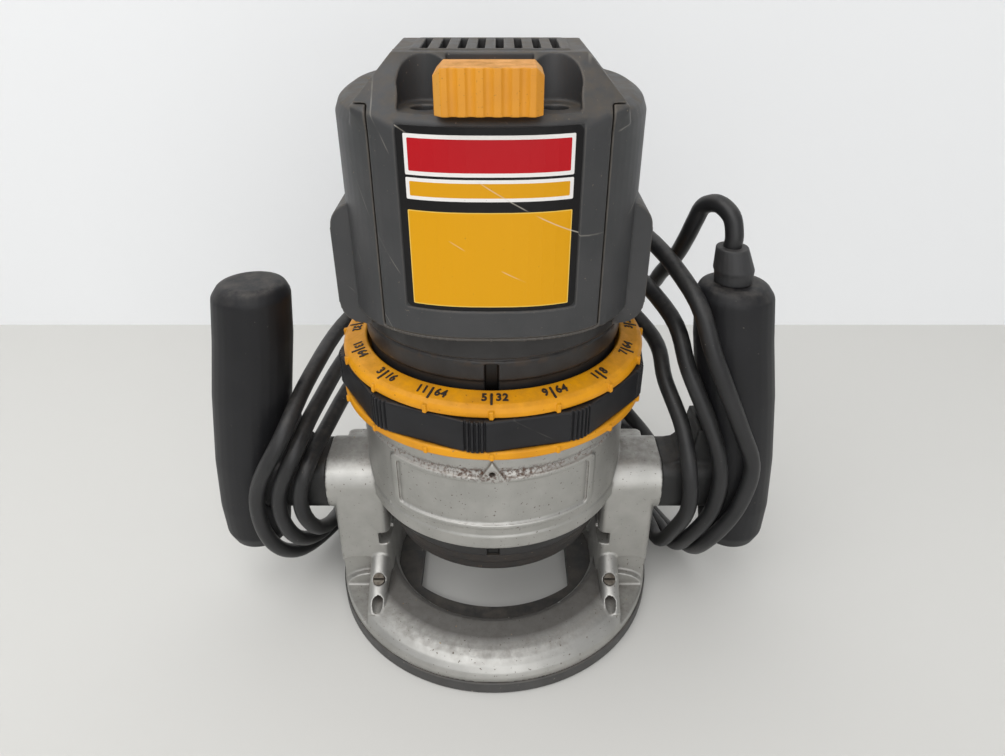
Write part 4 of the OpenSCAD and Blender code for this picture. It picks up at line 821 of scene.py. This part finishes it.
# %% Printed fields
printed_foil = finish("printed_foil", "#383839", "#313233", 0.35, patch=20, grain=1.2, deep=0.003, edge=0.2,
                      gloss=0.22)
field(printed_foil, "#111011", -27.9, 27.9, 173.4, 232.2, 2.0)
field(printed_foil, "#e4e1de", -25.6, 25.6, 217.7, 229.9)
field(printed_foil, "#b00c18", -24.5, 24.5, 218.9, 228.7)
field(printed_foil, "#e4e1de", -25.6, 25.6, 210.2, 216.9)
field(printed_foil, "#d39606", -24.5, 24.5, 211.3, 215.8)
field(printed_foil, "#e3bd58", -25.6, 25.6, 174.8, 206.8)
field(printed_foil, "#d59804", -25.3, 25.3, 175.1, 206.5)
dusty_tops(printed_foil, "#7d766c", 0.25, 0.2, 6)
specks(printed_foil, "#4a4137", 0.4, 1.0, 0.1)
scratches(printed_foil, "#cfc8bb", 0.5, 21.0, (0.2, 1.1, 0.3))
dress(printed_foil, "label_plate")

# %% [markdown]
# ## Brush springs
#
# Behind each carbon brush a coil spring presses it on the commutator. A spring is a wire that follows a
# helix, which one Geometry Nodes rule draws: a spiral, a round section along it, a turn onto its side, and a
# mirrored copy for the other brush.

# %% Springs
springs_rule, size = new_tree("pair_of_springs",
                              {"Coils": "Float", "Radius": "Float", "Length": "Float", "Wire": "Float",
                               "Start": "Vector", "Finish": "Material"})
spiral = add(springs_rule, "GeometryNodeCurveSpiral",
             {"Resolution": 20, "Rotations": size["Coils"], "Start Radius": size["Radius"],
              "End Radius": size["Radius"], "Height": size["Length"]})
section = add(springs_rule, "GeometryNodeCurvePrimitiveCircle", {"Resolution": 8, "Radius": size["Wire"]})
wire = add(springs_rule, "GeometryNodeCurveToMesh",
           {"Curve": spiral.outputs[0], "Profile Curve": section.outputs[0], "Fill Caps": True})
both_ends = add(springs_rule, "GeometryNodeJoinGeometry")
for turn in (0.0, math.pi):
    laid = add(springs_rule, "GeometryNodeTransform",
               {"Geometry": wire.outputs[0], "Translation": size["Start"],
                "Rotation": (0.0, math.pi / 2, 0.0)})
    swung = add(springs_rule, "GeometryNodeTransform",
                {"Geometry": laid.outputs[0], "Rotation": (0.0, 0.0, turn)})
    springs_rule.links.new(swung.outputs[0], both_ends.inputs[0])
close_tree(springs_rule, both_ends.outputs[0], size["Finish"])
spring_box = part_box("brush_springs")
brush_line = (spring_box[0][2] + spring_box[1][2]) / 2
spring_end = spring_box[1][0]
spring_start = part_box("brushes")[1][0]
end_gap = 0.5 * MM
spring_steel = finish("spring_steel", "#a9a49a", "#8c877d", 0.3, metal=1.0, patch=2, grain=0.3, deep=0.004,
                      edge=0.1)
springs = grown("springs", springs_rule,
                {"Coils": 9.0, "Radius": 2.2 * MM, "Length": spring_end - spring_start - 2 * end_gap,
                 "Wire": 0.35 * MM, "Start": (spring_start + end_gap, 0, brush_line), "Finish": spring_steel})
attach(springs, "motor")
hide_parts("brush_springs")

# %% [markdown]
# ## Crumbs of sawdust
#
# Small pale crumbs stuck on the faces that look up. A rule scatters points on those faces with a fixed seed,
# sets a flat chip on each, and turns and scales every chip by chance. The chips are only a few faces each.

# %% Scatter crumbs
crumbs_rule, size = new_tree("crumbs_on_tops",
                             {"Density": "Float", "Chip": "Float", "Seed": "Int", "Finish": "Material"})
normal = add(crumbs_rule, "GeometryNodeInputNormal")
up = add(crumbs_rule, "ShaderNodeSeparateXYZ", {0: normal.outputs[0]})
level = add(crumbs_rule, "FunctionNodeCompare", {0: up.outputs[2], 1: 0.45}, operation="GREATER_THAN")
spots = add(crumbs_rule, "GeometryNodeDistributePointsOnFaces",
            {"Mesh": size["Geometry"], "Selection": level.outputs[0], "Density": size["Density"],
             "Seed": size["Seed"]})
chip = add(crumbs_rule, "GeometryNodeMeshIcoSphere", {"Radius": size["Chip"], "Subdivisions": 1})
flatter = add(crumbs_rule, "GeometryNodeTransform", {"Geometry": chip.outputs[0], "Scale": (1.0, 0.5, 0.25)})
spin = add(crumbs_rule, "FunctionNodeRandomValue",
           {"Min": (0, 0, 0), "Max": (0.5, 0.5, 6.28), "Seed": size["Seed"]}, data_type="FLOAT_VECTOR")
grow = add(crumbs_rule, "FunctionNodeRandomValue", {2: 0.4, 3: 1.7, "Seed": size["Seed"]}, data_type="FLOAT")
chips = add(crumbs_rule, "GeometryNodeInstanceOnPoints",
            {"Points": spots.outputs[0], "Instance": flatter.outputs[0], "Rotation": spin.outputs[0],
             "Scale": grow.outputs[1]})
close_tree(crumbs_rule, chips.outputs[0], size["Finish"])
sawdust = finish("sawdust_crumbs", "#a28a64", "#7d6544", 0.8, patch=4, grain=0.3, deep=0.01, edge=0.05)
for piece, body, density, seed in ((housing, "motor", 2600.0, 3), (cover, "motor", 2600.0, 4),
                                   (ring, "ring", 3200.0, 5), (casting, "base", 3600.0, 6)):
    crumbs = grown(piece.name + "_crumbs", crumbs_rule,
                   {"Density": density, "Chip": 0.32 * MM, "Seed": seed, "Finish": sawdust},
                   start=piece.data.copy())
    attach(crumbs, body)

# %% [markdown]
# ## Hidden works
#
# The inside is rarely seen, but each part keeps its own stuff: ground steel, laminated iron, lacquered
# copper wire, carbon, brass and fibre.

# %% Finishes of the inside
ground_steel = finish("ground_steel", "#b5b4b0", "#9d9b96", 0.25, metal=1.0, patch=5, grain=0.3, deep=0.004,
                      edge=0.15)
dress(ground_steel, "spindle", "lower_bearing", "upper_bearing", "collet", "bearing_retainer", "clamp_lever")
black_oxide = finish("black_oxide_steel", "#3a3633", "#4a3c30", 0.4, metal=0.8, patch=4, grain=0.4, deep=0.01,
                     edge=0.2)
dress(black_oxide, "collet_nut", "cover_screws", "housing_screws")
lamination = finish("laminated_iron", "#6d6a66", "#57534e", 0.45, metal=0.9, patch=6, grain=0.5, deep=0.01)
dress(lamination, "armature_core", "field_stator")
lacquered_wire = finish("lacquered_copper", "#9c4a22", "#7c3514", 0.3, metal=0.6, patch=3, grain=0.5,
                        deep=0.06)
dress(lacquered_wire, "armature_windings", "field_coils")
bright_brass = finish("brass", "#b78f46", "#9a7636", 0.35, metal=1.0, patch=3, grain=0.4, deep=0.008)
dress(bright_brass, "brush_holders", "commutator", "plug_blades")
carbon_block = finish("pressed_carbon", "#242424", "#2e2e2e", 0.7, patch=2, grain=0.3, deep=0.02)
dress(carbon_block, "brushes")
fan_alloy = finish("fan_alloy", "#9c9c98", "#85857f", 0.45, metal=0.9, patch=5, grain=0.5, deep=0.01)
dress(fan_alloy, "fan")
inner_plastic = finish("inner_black_plastic", "#2b2a2a", "#333131", 0.5, patch=8, grain=0.5, deep=0.015)
dress(inner_plastic, "fan_baffle", "upper_bracket", "brush_caps", "switch_body", "terminal_block")

# %% [markdown]
# ## Stage and light
#
# The tool stands on a pale table in front of a pale wall. Both are seen from one side only, so that other
# views can look through them. The light is one wide soft box above, a weaker one in front and a bright room
# all round, at a level where a colour renders about as it is written.

# %% Table, wall and lamps
def stage_finish(name, code):
    material = bpy.data.materials.new(name)
    material.use_nodes = True
    tree = material.node_tree
    skin = tree.nodes["Principled BSDF"]
    skin.inputs["Base Color"].default_value = paint(code)
    skin.inputs["Roughness"].default_value = 0.7
    shape = add(tree, "ShaderNodeNewGeometry")
    clear = add(tree, "ShaderNodeBsdfTransparent")
    mix = add(tree, "ShaderNodeMixShader",
              {0: shape.outputs["Backfacing"], 1: skin.outputs[0], 2: clear.outputs[0]})
    tree.links.new(mix.outputs[0], tree.nodes["Material Output"].inputs["Surface"])
    return material


def sheet(name, corners, material):
    mesh = bpy.data.meshes.new(name)
    mesh.from_pydata(corners, [], [(0, 1, 2, 3)])
    mesh.materials.append(material)
    place(name, mesh)


wall_y, far = 0.268, 3
aim = Vector((0, 0, 0.1))
sheet("table", [(-far, -far, 0), (far, -far, 0), (far, wall_y, 0), (-far, wall_y, 0)],
      stage_finish("painted_table", "#cfceca"))
sheet("wall", [(-far, wall_y, 0), (far, wall_y, 0), (far, wall_y, far), (-far, wall_y, far)],
      stage_finish("painted_wall", "#edeeef"))
room = bpy.data.worlds.new("room")
room.use_nodes = True
room.node_tree.nodes["Background"].inputs["Color"].default_value = (0.98, 0.985, 1.0, 1)
room.node_tree.nodes["Background"].inputs["Strength"].default_value = 0.5
scene.world = room
for name, spot, size, power in (("soft_box", (-0.4, -0.5, 1.3), 1.4, 13),
                                ("front_fill", (0.25, -1.5, 0.6), 1.4, 9)):
    lamp = bpy.data.lights.new(name, "AREA")
    lamp.size = size
    lamp.energy = power
    made = place(name, lamp)
    made.location = spot
    made.rotation_euler = (aim - Vector(spot)).to_track_quat("-Z", "Y").to_euler()
